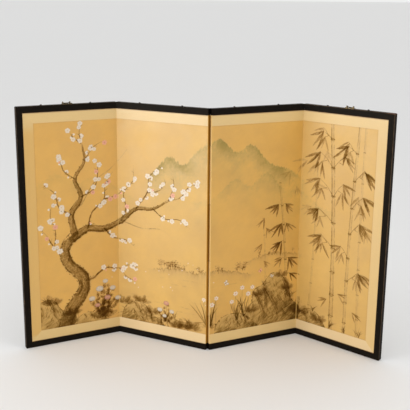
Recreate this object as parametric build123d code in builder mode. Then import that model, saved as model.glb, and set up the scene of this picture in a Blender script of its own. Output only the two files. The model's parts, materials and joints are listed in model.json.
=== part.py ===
from build123d import *
import os
from math import cos, sin, radians, degrees, asin

# Four-leaf byobu (Japanese folding screen), standing in a zigzag.
# Units mm. +Z up, +X along the screen to the viewer's right, painted faces towards -Y.
# Origin: middle of the bounding box, on the floor.
#
# Each leaf has local axes: u along the leaf (left to right seen from the front),
# v from the front face to the back, z up.
# Layers through a leaf, front to back:
#   frame face 0 | silk 1.0-1.5 | front underpaper 1.5-2.0 | lattice core 2.0-14.0 |
#   back underpaper 14.0-14.5 | back paper 14.5-15.0 | frame back face 16.0

# ------------------------------------------------------------------ driving dimensions
HEIGHT = 914.0  # floor to top edge
LEAF_W = [377.0, 380.0, 380.0, 377.0]  # outer leaves a little narrower, so they fold in flat
HEADING = [30.76, -23.48, 29.17, -38.79]  # plan direction of each leaf at rest, degrees
DEPTH = 16.0  # lacquered frame, front to back
RAIL_W = 24.3  # top and bottom rails, visible height
STILE_W = 24.0  # outer stiles, visible width
STEP = 1.0  # frame stands proud of the papered faces
SILK_T = 0.5  # painted silk and its border
PAPER_T = 0.5  # each underpaper, and the back paper
CORE_T = DEPTH - 2 * (STEP + SILK_T + PAPER_T)  # lattice core

BORDER_TOP = 36.5
BORDER_BOTTOM = 36.5
BORDER_SIDE = 35.5

PIVOT_OUT = 0.3  # hinge line in front of (or behind) the frame's face
PIVOT_SIDE = 0.5  # hinge line beyond each leaf's side
EDGE_T = 0.4  # paper wrapped over a leaf's folding edge
FLANGE = 28.0  # width of a hinge strip where it is glued on a face
END_STRIP = 110.0  # top and bottom hinge strips
STRIPS = 5  # strips to a fold

CORNER_R = 4.5  # rounded outer corners of the frame
ARRIS_R = 0.9  # eased edges of the frame

MEMBER_W = 20.0  # core frame members
BAR_W = 12.0  # lattice bars
UPRIGHTS = 2
CROSSBARS = 7
TENON_L = 6.0
TENON_T = 5.0

NAIL_R = 1.2
NAIL_L = 36.0
HEAD_R = 4.0
HEAD_H = 3.2
SIDE_HEAD_H = 0.9  # the stiles' nails are driven nearly flush
NAIL_U = [[94.0, 280.0], [96.0, 273.0], [92.0, 275.0], [98.0, 268.0]]  # along each rail
NAIL_Z = [150.0, 457.0, 764.0]  # up each outer stile

BAIL_U = {0: 187.0, 3: 195.5}  # middle of each hanging bail along its leaf
BAIL_V = 4.5  # bail axis, from the front face
EAR_GAP = 27.0  # ear to ear, centres
EAR_T = 3.0
EAR_R = 3.5
PLATE_W = 13.0
PLATE_V = 8.0  # middle of the plate, from the front face
PLATE_T = 1.6
PLATE_SHORT = 16.5  # plate end beyond the bail's middle, on the outer side
PLATE_LONG = 24.5  # and on the folding side, where it is screwed down
AXIS_H = 6.2  # bail axis above the rail
WIRE_R = 1.4
HOLE_R = 1.45
BAIL_REACH = 9.4
BAIL_LEG = 3.0  # bail legs inside the ears, centre to centre
PIN_OUT = 2.4  # bail pins beyond the ears' centres
SCREW_HEAD_R = 2.9
SCREW_HEAD_H = 1.8
SCREW_AT = 20.0  # end screw, from the bail's middle
SCREW_INNER = 6.0  # the other one, inside the bail and beside one of its legs

# ------------------------------------------------------------------ where the leaves stand
def along(i):
    a = radians(HEADING[i])
    return Vector(cos(a), sin(a), 0)


def back(i):
    a = radians(HEADING[i])
    return Vector(-sin(a), cos(a), 0)


def place(origin, i, u, v):
    return origin + along(i) * u + back(i) * v


# The centre fold turns on the leaves' back edges, the two others on their front edges.
ORIGIN = [None, None, None, None]
FOLD_23 = Vector(0, 0, 0)
ORIGIN[1] = FOLD_23 - along(1) * (LEAF_W[1] + PIVOT_SIDE) - back(1) * (DEPTH + PIVOT_OUT)
ORIGIN[2] = FOLD_23 + along(2) * PIVOT_SIDE - back(2) * (DEPTH + PIVOT_OUT)
FOLD_12 = place(ORIGIN[1], 1, -PIVOT_SIDE, -PIVOT_OUT)
ORIGIN[0] = FOLD_12 - along(0) * (LEAF_W[0] + PIVOT_SIDE) + back(0) * PIVOT_OUT
FOLD_34 = place(ORIGIN[2], 2, LEAF_W[2] + PIVOT_SIDE, -PIVOT_OUT)
ORIGIN[3] = FOLD_34 + along(3) * PIVOT_SIDE + back(3) * PIVOT_OUT

reach = [
    place(ORIGIN[i], i, u, v)
    for i in range(4)
    for u in (ARRIS_R, LEAF_W[i] - ARRIS_R)
    for v in (ARRIS_R, DEPTH - ARRIS_R)
]
MIDDLE = Vector(
    (min(p.X for p in reach) + max(p.X for p in reach)) / 2,
    (min(p.Y for p in reach) + max(p.Y for p in reach)) / 2,
    0,
)
ORIGIN = [o - MIDDLE for o in ORIGIN]
FOLD_12, FOLD_23, FOLD_34 = FOLD_12 - MIDDLE, FOLD_23 - MIDDLE, FOLD_34 - MIDDLE


def face_plane(i, v):
    """Upright plane across leaf i at depth v: x is u, y is z, and it looks to the front."""
    return Plane(origin=place(ORIGIN[i], i, 0, v), x_dir=along(i), z_dir=back(i) * -1)


def floor_plane(i, z):
    """Level plane at height z: x is u, y is v."""
    return Plane(origin=ORIGIN[i] + Vector(0, 0, z), x_dir=along(i), z_dir=(0, 0, 1))


def end_plane(i, u):
    """Upright plane across leaf i's thickness at u: x is v, y is z, and it looks along u."""
    return Plane(origin=place(ORIGIN[i], i, u, 0), x_dir=back(i), z_dir=along(i))


# The core stops at the lacquered stile on an outer edge and at the edge paper at a fold.
def core_ends(i):
    left = STILE_W if i == 0 else EDGE_T
    right = LEAF_W[i] - (STILE_W if i == 3 else EDGE_T)
    return left, right


def cover_ends(i):
    left = STILE_W if i == 0 else 0.0
    right = LEAF_W[i] - (STILE_W if i == 3 else 0.0)
    return left, right


CORE_LOW, CORE_HIGH = RAIL_W, HEIGHT - RAIL_W
V_SILK = STEP
V_UNDER = STEP + SILK_T
V_CORE = V_UNDER + PAPER_T
V_MID = DEPTH / 2
V_CORE_BACK = V_CORE + CORE_T
V_BACK = V_CORE_BACK + PAPER_T

# Hinge strips from the top down: two short ones at the ends and equal long ones between.
long_strip = (CORE_HIGH - CORE_LOW - 2 * END_STRIP) / (STRIPS - 2)
CUTS = [CORE_HIGH, CORE_HIGH - END_STRIP]
for k in range(STRIPS - 2):
    CUTS.append(CUTS[-1] - long_strip)
CUTS.append(CORE_LOW)
STRIP_Z = [(CUTS[k + 1], CUTS[k]) for k in range(STRIPS)]

# Folds of each leaf: (side, name). On a leaf left of its fold the odd strips (first, third,
# fifth) are glued to the front and the even ones to the back; on the leaf right of it the
# other way round. So every strip passes from one leaf's front to the other's back.
FOLDS = {0: [("right", "1_2")], 1: [("left", "1_2"), ("right", "2_3")], 2: [("left", "2_3"), ("right", "3_4")], 3: [("left", "3_4")]}


def on_front(side, k):
    return (k % 2 == 0) == (side == "right")


def flange_span(i, side):
    left, right = core_ends(i)
    return (left, left + FLANGE) if side == "left" else (right - FLANGE, right)


def save(part, name):
    part.label = name
    export_step(part, "parts/" + name + ".step")


os.makedirs("parts", exist_ok=True)

for i in range(4):
    leaf = "leaf_" + str(i + 1)
    width = LEAF_W[i]
    c0, c1 = core_ends(i)
    f0, f1 = cover_ends(i)
    opening_w = c1 - c0 - 2 * MEMBER_W
    opening_low, opening_high = CORE_LOW + MEMBER_W, CORE_HIGH - MEMBER_W
    bar_u = [c0 + MEMBER_W + opening_w * (k + 1) / (UPRIGHTS + 1) for k in range(UPRIGHTS)]
    bar_z = [opening_low + (opening_high - opening_low) * (k + 1) / (CROSSBARS + 1) for k in range(CROSSBARS)]
    mid_u, mid_z = (c0 + c1) / 2, HEIGHT / 2

    # ---- core frame: two stiles and two rails, half-lapped at the corners and mortised
    with BuildPart() as core_stiles:
        with BuildSketch(face_plane(i, V_CORE)):
            with Locations((c0 + MEMBER_W / 2, mid_z), (c1 - MEMBER_W / 2, mid_z)):
                Rectangle(MEMBER_W, CORE_HIGH - CORE_LOW)
        extrude(amount=-CORE_T)
        with BuildSketch(face_plane(i, V_MID)):
            with Locations(
                (c0 + MEMBER_W / 2, CORE_LOW + MEMBER_W / 2),
                (c1 - MEMBER_W / 2, CORE_LOW + MEMBER_W / 2),
                (c0 + MEMBER_W / 2, CORE_HIGH - MEMBER_W / 2),
                (c1 - MEMBER_W / 2, CORE_HIGH - MEMBER_W / 2),
            ):
                Rectangle(MEMBER_W, MEMBER_W)
        extrude(amount=-CORE_T / 2, mode=Mode.SUBTRACT)
        with BuildSketch(face_plane(i, V_MID - TENON_T / 2)):
            with Locations(*[(u, z) for u in (c0 + MEMBER_W - TENON_L / 2, c1 - MEMBER_W + TENON_L / 2) for z in bar_z]):
                Rectangle(TENON_L, BAR_W)
        extrude(amount=-TENON_T, mode=Mode.SUBTRACT)
    with BuildPart() as core_rails:
        with BuildSketch(face_plane(i, V_CORE)):
            with Locations((mid_u, CORE_LOW + MEMBER_W / 2), (mid_u, CORE_HIGH - MEMBER_W / 2)):
                Rectangle(c1 - c0, MEMBER_W)
        extrude(amount=-CORE_T)
        with BuildSketch(face_plane(i, V_CORE)):
            with Locations(
                (c0 + MEMBER_W / 2, CORE_LOW + MEMBER_W / 2),
                (c1 - MEMBER_W / 2, CORE_LOW + MEMBER_W / 2),
                (c0 + MEMBER_W / 2, CORE_HIGH - MEMBER_W / 2),
                (c1 - MEMBER_W / 2, CORE_HIGH - MEMBER_W / 2),
            ):
                Rectangle(MEMBER_W, MEMBER_W)
        extrude(amount=-CORE_T / 2, mode=Mode.SUBTRACT)
        with BuildSketch(face_plane(i, V_MID - TENON_T / 2)):
            with Locations(*[(u, z) for u in bar_u for z in (opening_low - TENON_L / 2, opening_high + TENON_L / 2)]):
                Rectangle(BAR_W, TENON_L)
        extrude(amount=-TENON_T, mode=Mode.SUBTRACT)
    core_frame = Compound(children=list(core_stiles.part.solids()) + list(core_rails.part.solids()))
    save(core_frame, leaf + "_core_frame")

    # ---- lattice: crossbars lapped over the uprights, all with stub tenons
    with BuildPart() as uprights:
        with BuildSketch(face_plane(i, V_CORE)):
            with Locations(*[(u, mid_z) for u in bar_u]):
                Rectangle(BAR_W, opening_high - opening_low)
        extrude(amount=-CORE_T)
        with BuildSketch(face_plane(i, V_MID - TENON_T / 2)):
            with Locations(*[(u, mid_z) for u in bar_u]):
                Rectangle(BAR_W, opening_high - opening_low + 2 * TENON_L)
        extrude(amount=-TENON_T)
        with BuildSketch(face_plane(i, V_MID)):
            with Locations(*[(u, z) for u in bar_u for z in bar_z]):
                Rectangle(BAR_W, BAR_W)
        extrude(amount=-CORE_T / 2, mode=Mode.SUBTRACT)
    save(uprights.part, leaf + "_lattice_uprights")

    with BuildPart() as crossbars:
        with BuildSketch(face_plane(i, V_CORE)):
            with Locations(*[(mid_u, z) for z in bar_z]):
                Rectangle(opening_w, BAR_W)
        extrude(amount=-CORE_T)
        with BuildSketch(face_plane(i, V_MID - TENON_T / 2)):
            with Locations(*[(mid_u, z) for z in bar_z]):
                Rectangle(opening_w + 2 * TENON_L, BAR_W)
        extrude(amount=-TENON_T)
        with BuildSketch(face_plane(i, V_CORE)):
            with Locations(*[(u, z) for u in bar_u for z in bar_z]):
                Rectangle(BAR_W, BAR_W)
        extrude(amount=-CORE_T / 2, mode=Mode.SUBTRACT)
    save(crossbars.part, leaf + "_lattice_crossbars")

    # ---- underpapers, left out where a hinge strip lies in the same layer
    for layer, v, front in (("front", V_UNDER, True), ("back", V_CORE_BACK, False)):
        with BuildPart() as underpaper:
            with BuildSketch(face_plane(i, v)):
                with Locations((mid_u, mid_z)):
                    Rectangle(c1 - c0, CORE_HIGH - CORE_LOW)
                for side, _ in FOLDS[i]:
                    a, b = flange_span(i, side)
                    for k, (low, high) in enumerate(STRIP_Z):
                        if on_front(side, k) == front:
                            with Locations(((a + b) / 2, (low + high) / 2)):
                                Rectangle(b - a, high - low, mode=Mode.SUBTRACT)
            extrude(amount=-PAPER_T)
        save(underpaper.part, leaf + "_underpaper_" + layer)

    # ---- painted silk, its border strips (mitred at the outer corners), and the back paper
    p0 = f0 + (BORDER_SIDE if i == 0 else 0.0)
    p1 = f1 - (BORDER_SIDE if i == 3 else 0.0)
    p_low, p_high = CORE_LOW + BORDER_BOTTOM, CORE_HIGH - BORDER_TOP
    with BuildPart() as painting:
        with BuildSketch(face_plane(i, V_SILK)):
            with Locations(((p0 + p1) / 2, (p_low + p_high) / 2)):
                Rectangle(p1 - p0, p_high - p_low)
        extrude(amount=-SILK_T)
    save(painting.part, leaf + "_painted_silk")

    with BuildPart() as top_border:
        with BuildSketch(face_plane(i, V_SILK)):
            with BuildLine():
                Polyline((f0, CORE_HIGH), (f1, CORE_HIGH), (p1, p_high), (p0, p_high), close=True)
            make_face()
        extrude(amount=-SILK_T)
    with BuildPart() as bottom_border:
        with BuildSketch(face_plane(i, V_SILK)):
            with BuildLine():
                Polyline((f0, CORE_LOW), (f1, CORE_LOW), (p1, p_low), (p0, p_low), close=True)
            make_face()
        extrude(amount=-SILK_T)
    strips = [top_border.part, bottom_border.part]
    if i in (0, 3):
        out_u, in_u = (f0, p0) if i == 0 else (f1, p1)
        with BuildPart() as side_border:
            with BuildSketch(face_plane(i, V_SILK)):
                with BuildLine():
                    Polyline((out_u, CORE_LOW), (in_u, p_low), (in_u, p_high), (out_u, CORE_HIGH), close=True)
                make_face()
            extrude(amount=-SILK_T)
        strips.append(side_border.part)
    save(Compound(children=[s.solid() for s in strips]), leaf + "_silk_border")

    with BuildPart() as back_paper:
        with BuildSketch(face_plane(i, V_BACK)):
            with Locations(((f0 + f1) / 2, mid_z)):
                Rectangle(f1 - f0, CORE_HIGH - CORE_LOW)
        extrude(amount=-PAPER_T)
    save(back_paper.part, leaf + "_back_paper")

    # ---- hinge paper: each strip is an L, glued to one face and turned over the edge
    for side, fold in FOLDS[i]:
        a, b = flange_span(i, side)
        edge_u = EDGE_T / 2 if side == "left" else width - EDGE_T / 2
        pieces = []
        for k, (low, high) in enumerate(STRIP_Z):
            v_flange = V_UNDER if on_front(side, k) else V_CORE_BACK
            with BuildPart() as strip:
                with BuildSketch(face_plane(i, v_flange)):
                    with Locations(((a + b) / 2, (low + high) / 2)):
                        Rectangle(b - a, high - low)
                extrude(amount=-PAPER_T)
                with BuildSketch(face_plane(i, V_UNDER)):
                    with Locations((edge_u, (low + high) / 2)):
                        Rectangle(EDGE_T, high - low)
                extrude(amount=-(V_BACK - V_UNDER))
            pieces.append(strip.part.solid())
        save(Compound(children=pieces), "hinge_paper_" + fold + "_on_" + leaf)

    # ---- lacquered frame: rails, mitred into the stile on an outer leaf
    mitre_u = 0.0 if i == 0 else width
    inner_u = STILE_W if i == 0 else width - STILE_W
    for where in ("top", "bottom"):
        outer_z = HEIGHT if where == "top" else 0.0
        inner_z = CORE_HIGH if where == "top" else CORE_LOW
        if i == 0:
            outline = [(0, outer_z), (width, outer_z), (width, inner_z), (STILE_W, inner_z)]
        elif i == 3:
            outline = [(0, outer_z), (width, outer_z), (width - STILE_W, inner_z), (0, inner_z)]
        else:
            outline = [(0, outer_z), (width, outer_z), (width, inner_z), (0, inner_z)]
        with BuildPart() as rail:
            with BuildSketch(face_plane(i, 0)):
                with BuildLine():
                    Polyline(*outline, close=True)
                make_face()
            extrude(amount=-DEPTH)
            if i in (0, 3):
                with BuildSketch(face_plane(i, 0)) as leaf_outline:
                    with Locations((width / 2, HEIGHT / 2)):
                        Rectangle(width, HEIGHT)
                    outer_corners = leaf_outline.vertices().sort_by(Axis.X)
                    fillet(outer_corners[:2] if i == 0 else outer_corners[-2:], radius=CORNER_R)
                extrude(amount=-DEPTH, mode=Mode.INTERSECT)
            mitre = Vector(inner_u - mitre_u, inner_z - outer_z, 0).normalized()

            def off_mitre(edge):
                if i not in (0, 3):
                    return True
                at = face_plane(i, 0).to_local_coords(edge.center())
                rel = Vector(at.X - mitre_u, at.Y - outer_z, 0)
                return abs(rel.X * mitre.Y - rel.Y * mitre.X) > 0.05

            fillet(rail.edges().filter_by(off_mitre), radius=ARRIS_R)
        save(rail.part, leaf + "_" + where + "_rail")

    if i in (0, 3):
        with BuildPart() as stile:
            with BuildSketch(face_plane(i, 0)):
                with BuildLine():
                    Polyline(
                        (mitre_u, 0),
                        (inner_u, CORE_LOW),
                        (inner_u, CORE_HIGH),
                        (mitre_u, HEIGHT),
                        close=True,
                    )
                make_face()
            extrude(amount=-DEPTH)
            with BuildSketch(face_plane(i, 0)) as leaf_outline:
                with Locations((width / 2, HEIGHT / 2)):
                    Rectangle(width, HEIGHT)
                outer_corners = leaf_outline.vertices().sort_by(Axis.X)
                fillet(outer_corners[:2] if i == 0 else outer_corners[-2:], radius=CORNER_R)
            extrude(amount=-DEPTH, mode=Mode.INTERSECT)

            def off_both_mitres(edge):
                at = face_plane(i, 0).to_local_coords(edge.center())
                for z0, z1 in ((0.0, CORE_LOW), (HEIGHT, CORE_HIGH)):
                    line = Vector(inner_u - mitre_u, z1 - z0, 0).normalized()
                    rel = Vector(at.X - mitre_u, at.Y - z0, 0)
                    if abs(rel.X * line.Y - rel.Y * line.X) < 0.05:
                        return False
                return True

            fillet(stile.edges().filter_by(off_both_mitres), radius=ARRIS_R)
        save(stile.part, leaf + "_outer_stile")

    # ---- frame nails: domed heads on the top rail and stile, sunk and lacquered over below
    with BuildPart() as nails:
        with BuildSketch(floor_plane(i, HEIGHT)):
            with Locations(*[(u, V_MID) for u in NAIL_U[i]]):
                Circle(HEAD_R)
        extrude(amount=HEAD_H)
        heads = nails.edges().filter_by(GeomType.CIRCLE).group_by(Axis.Z)[-1]
        fillet(heads, radius=HEAD_H * 0.8)
        with BuildSketch(floor_plane(i, HEIGHT)):
            with Locations(*[(u, V_MID) for u in NAIL_U[i]]):
                Circle(NAIL_R)
        extrude(amount=-NAIL_L)
        with BuildSketch(floor_plane(i, 0.6)):
            with Locations(*[(u, V_MID) for u in NAIL_U[i]]):
                Circle(HEAD_R)
        extrude(amount=HEAD_H)
        with BuildSketch(floor_plane(i, 0.6)):
            with Locations(*[(u, V_MID) for u in NAIL_U[i]]):
                Circle(NAIL_R)
        extrude(amount=NAIL_L)
        if i in (0, 3):
            side_out = -1 if i == 0 else 1
            with BuildSketch(end_plane(i, mitre_u)):
                with Locations(*[(V_MID, z) for z in NAIL_Z]):
                    Circle(HEAD_R)
            extrude(amount=SIDE_HEAD_H * side_out)
            far = Axis(origin=place(ORIGIN[i], i, mitre_u, 0), direction=along(i) * side_out)
            fillet(nails.edges().filter_by(GeomType.CIRCLE).group_by(far)[-1], radius=SIDE_HEAD_H * 0.8)
            with BuildSketch(end_plane(i, mitre_u)):
                with Locations(*[(V_MID, z) for z in NAIL_Z]):
                    Circle(NAIL_R)
            extrude(amount=-NAIL_L * side_out)
    save(nails.part, leaf + "_frame_nails")

# ------------------------------------------------------------------ hanging bails
for i, side_name in ((0, "left"), (3, "right")):
    inward = 1 if i == 0 else -1  # towards the leaf's fold
    uc = BAIL_U[i]
    z0 = HEIGHT
    axis_z = HEIGHT + AXIS_H
    plate_mid = uc + inward * (PLATE_LONG - PLATE_SHORT) / 2
    with BuildPart() as plate:
        with BuildSketch(floor_plane(i, z0)):
            with Locations((plate_mid, PLATE_V)):
                RectangleRounded(PLATE_LONG + PLATE_SHORT, PLATE_W, 2.5)
        extrude(amount=PLATE_T)
        for ear_u in (uc - EAR_GAP / 2, uc + EAR_GAP / 2):
            with BuildSketch(end_plane(i, ear_u)):
                with Locations((BAIL_V, axis_z)):
                    Circle(EAR_R)
                with Locations((BAIL_V, (z0 + axis_z) / 2 + 0.2)):
                    Rectangle(2 * EAR_R, AXIS_H - 0.4)
            extrude(amount=EAR_T / 2, both=True)
        with BuildSketch(end_plane(i, uc - EAR_GAP)):
            with Locations((BAIL_V, axis_z)):
                Circle(HOLE_R)
        extrude(amount=2 * EAR_GAP, mode=Mode.SUBTRACT)
    save(plate.part, "hanger_plate_" + side_name)

    screw_at = [(uc + inward * SCREW_AT, PLATE_V), (uc - inward * SCREW_INNER, BAIL_V)]
    with BuildPart() as screws:
        with BuildSketch(floor_plane(i, z0 + PLATE_T)):
            with Locations(*screw_at):
                Circle(SCREW_HEAD_R)
        extrude(amount=SCREW_HEAD_H)
        fillet(screws.edges().filter_by(GeomType.CIRCLE).group_by(Axis.Z)[-1], radius=1.1)
        with BuildSketch(floor_plane(i, z0 + PLATE_T + SCREW_HEAD_H)):
            for at in screw_at:
                with Locations(at):
                    Rectangle(4.2, 0.7, rotation=35)
        extrude(amount=-0.7, mode=Mode.SUBTRACT)
        with BuildSketch(floor_plane(i, z0 + PLATE_T)):
            with Locations(*screw_at):
                Circle(1.3)
        extrude(amount=-13.0)
    save(screws.part, "hanger_screws_" + side_name)

    # The bail lies back on its plate: its crossbar rests just clear of the plate's top.
    drop = asin((AXIS_H - PLATE_T - WIRE_R - 0.15) / BAIL_REACH)
    reach_dir = back(i) * cos(drop) - Vector(0, 0, sin(drop))
    pivot = place(ORIGIN[i], i, uc, BAIL_V) + Vector(0, 0, axis_z)
    bail_plane = Plane(origin=pivot, x_dir=along(i), z_dir=along(i).cross(reach_dir))
    half = EAR_GAP / 2
    with BuildPart() as bail:
        with BuildLine(bail_plane) as wire:
            FilletPolyline(
                (-half - PIN_OUT, 0),
                (-half + BAIL_LEG, 0),
                (-half + BAIL_LEG, BAIL_REACH),
                (half - BAIL_LEG, BAIL_REACH),
                (half - BAIL_LEG, 0),
                (half + PIN_OUT, 0),
                radius=1.6,
            )
        start = place(ORIGIN[i], i, uc - half - PIN_OUT, BAIL_V) + Vector(0, 0, axis_z)
        with BuildSketch(Plane(origin=start, x_dir=reach_dir, z_dir=along(i))):
            Circle(WIRE_R)
        sweep(path=wire.wires()[0])
    save(bail.part, "hanging_bail_" + side_name)

print("origins", [tuple(round(c, 4) for c in o) for o in ORIGIN])
print("folds", [tuple(round(c, 4) for c in f) for f in (FOLD_12, FOLD_23, FOLD_34)])
for i in (0, 3):
    p = place(ORIGIN[i], i, BAIL_U[i], BAIL_V) + Vector(0, 0, HEIGHT + AXIS_H)
    print("bail axis", i, tuple(round(c, 4) for c in p), "along", tuple(round(c, 6) for c in along(i)))
print("middle", tuple(round(c, 4) for c in MIDDLE), "strips", STRIP_Z)
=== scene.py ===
import json
import math

import bmesh
import bpy
import numpy as np
from mathutils import Matrix, Vector

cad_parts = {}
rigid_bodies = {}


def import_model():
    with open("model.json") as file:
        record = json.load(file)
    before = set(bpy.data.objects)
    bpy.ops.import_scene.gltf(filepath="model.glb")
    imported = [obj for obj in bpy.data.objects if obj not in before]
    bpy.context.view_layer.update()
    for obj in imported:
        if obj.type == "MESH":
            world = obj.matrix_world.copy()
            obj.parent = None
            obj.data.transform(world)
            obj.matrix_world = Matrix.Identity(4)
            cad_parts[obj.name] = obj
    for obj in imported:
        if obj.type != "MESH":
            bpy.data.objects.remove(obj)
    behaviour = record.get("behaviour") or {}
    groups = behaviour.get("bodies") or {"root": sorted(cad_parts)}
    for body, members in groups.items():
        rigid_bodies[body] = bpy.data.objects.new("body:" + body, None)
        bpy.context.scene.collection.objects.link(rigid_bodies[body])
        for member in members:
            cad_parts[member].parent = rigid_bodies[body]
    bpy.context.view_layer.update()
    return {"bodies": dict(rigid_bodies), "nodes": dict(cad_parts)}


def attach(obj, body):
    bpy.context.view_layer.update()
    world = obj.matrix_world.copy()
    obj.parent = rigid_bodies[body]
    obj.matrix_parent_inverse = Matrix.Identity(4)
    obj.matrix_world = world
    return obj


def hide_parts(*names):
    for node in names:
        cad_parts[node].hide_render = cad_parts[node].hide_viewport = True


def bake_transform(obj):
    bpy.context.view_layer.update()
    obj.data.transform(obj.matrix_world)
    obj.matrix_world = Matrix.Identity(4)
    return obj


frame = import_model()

nodes, bodies = frame["nodes"], frame["bodies"]

# ------------------------------------------------------------------ the screen's own sizes, in mm
HEIGHT = 914.0
LEAF_W = [377.0, 380.0, 380.0, 377.0]
HEADING = [30.76, -23.48, 29.17, -38.79]
DEPTH = 16.0
RAIL_W = 24.3
STILE_W = 24.0
STEP = 1.0
SILK_T = 0.5
PAPER_T = 0.5
BORDER_TOP, BORDER_BOTTOM, BORDER_SIDE = 36.5, 36.5, 35.5
PIVOT_OUT, PIVOT_SIDE = 0.3, 0.5
CORNER_R = 4.5
PROUD = 0.295
EDGE_T = 0.4
STRIP_Z = [(779.7, 889.7), (564.567, 779.7), (349.433, 564.567), (134.3, 349.433), (24.3, 134.3)]
V_SILK = STEP
V_UNDER = STEP + SILK_T
V_BACK = DEPTH - STEP - PAPER_T
Z_LOW, Z_HIGH = RAIL_W + BORDER_BOTTOM, HEIGHT - RAIL_W - BORDER_TOP  # the painting's window


def along(i):
    a = math.radians(HEADING[i])
    return np.array([math.cos(a), math.sin(a), 0.0])


def back(i):
    a = math.radians(HEADING[i])
    return np.array([-math.sin(a), math.cos(a), 0.0])


ORIGIN = [None] * 4
ORIGIN[1] = -along(1) * (LEAF_W[1] + PIVOT_SIDE) - back(1) * (DEPTH + PIVOT_OUT)
ORIGIN[2] = along(2) * PIVOT_SIDE - back(2) * (DEPTH + PIVOT_OUT)
FOLD = {"2_3": np.zeros(3)}
FOLD["1_2"] = ORIGIN[1] - along(1) * PIVOT_SIDE - back(1) * PIVOT_OUT
ORIGIN[0] = FOLD["1_2"] - along(0) * (LEAF_W[0] + PIVOT_SIDE) + back(0) * PIVOT_OUT
FOLD["3_4"] = ORIGIN[2] + along(2) * (LEAF_W[2] + PIVOT_SIDE) - back(2) * PIVOT_OUT
ORIGIN[3] = FOLD["3_4"] + along(3) * PIVOT_SIDE + back(3) * PIVOT_OUT
_shift = np.array([-658.811, -116.3277, 0.0]) - ORIGIN[0]
ORIGIN = [o + _shift for o in ORIGIN]
FOLD = {k: p + _shift for k, p in FOLD.items()}


def at(i, u, v, z):
    """Point of leaf i in metres, from mm along it, behind its front face, and up."""
    u, v, z = np.broadcast_arrays(np.asarray(u, float), np.asarray(v, float), np.asarray(z, float))
    p = ORIGIN[i] + u[..., None] * along(i) + v[..., None] * back(i)
    p = p.copy()
    p[..., 2] = z
    return p * 0.001


def cover_span(i):
    return (STILE_W if i == 0 else 0.0), LEAF_W[i] - (STILE_W if i == 3 else 0.0)


def window_span(i):
    a, b = cover_span(i)
    return a + (BORDER_SIDE if i == 0 else 0.0), b - (BORDER_SIDE if i == 3 else 0.0)


# ------------------------------------------------------------------ camera, as the reference view
CAM_AT = (0.15770, -2.95561, 1.29183)
YAW, PITCH, ROLL = math.radians(-2.9772), math.radians(-14.1413), math.radians(0.5843)
LENS = 36.0 * 823.21 / 410.0

fwd = Vector((math.sin(YAW) * math.cos(PITCH), math.cos(YAW) * math.cos(PITCH), math.sin(PITCH)))
right0 = Vector((math.cos(YAW), -math.sin(YAW), 0.0))
up0 = right0.cross(fwd)
right = right0 * math.cos(ROLL) + up0 * math.sin(ROLL)
up = -right0 * math.sin(ROLL) + up0 * math.cos(ROLL)
cam_data = bpy.data.cameras.new("camera")
cam_data.lens = LENS
cam_data.sensor_width = 36.0
cam_data.clip_start, cam_data.clip_end = 0.05, 600.0
camera = bpy.data.objects.new("camera", cam_data)
bpy.context.scene.collection.objects.link(camera)
m = Matrix((right, up, -fwd)).transposed().to_4x4()
m.translation = Vector(CAM_AT)
camera.matrix_world = m
bpy.context.scene.camera = camera
bpy.context.scene.view_settings.view_transform = "Standard"
bpy.context.scene.view_settings.look = "None"


# ------------------------------------------------------------------ light and floor
def area_light(name, place, target, size, power, colour=(1, 1, 1), spread=180.0):
    data = bpy.data.lights.new(name, "AREA")
    data.shape = "RECTANGLE"
    data.size, data.size_y = size
    data.energy = power
    data.color = colour
    data.spread = math.radians(spread)
    ob = bpy.data.objects.new(name, data)
    bpy.context.scene.collection.objects.link(ob)
    ob.location = place
    ob.rotation_mode = "QUATERNION"
    ob.rotation_quaternion = (Vector(target) - Vector(place)).to_track_quat("-Z", "Y")
    ob.visible_camera = False
    return ob


area_light("window_low_left", (-3.64, -2.1, 0.86), (0.0, 0.0, 0.3), (2.1, 1.5), 72.0, (1.0, 0.99, 0.975))
area_light("fill_right", (2.8, -1.6, 2.2), (0.0, 0.0, 0.4), (1.8, 1.8), 20.0, (1.0, 0.985, 0.96))

world = bpy.data.worlds.new("studio")
bpy.context.scene.world = world
world.use_nodes = True
world.node_tree.nodes["Background"].inputs["Color"].default_value = (0.99, 0.995, 1.0, 1)
world.node_tree.nodes["Background"].inputs["Strength"].default_value = 0.875


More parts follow.
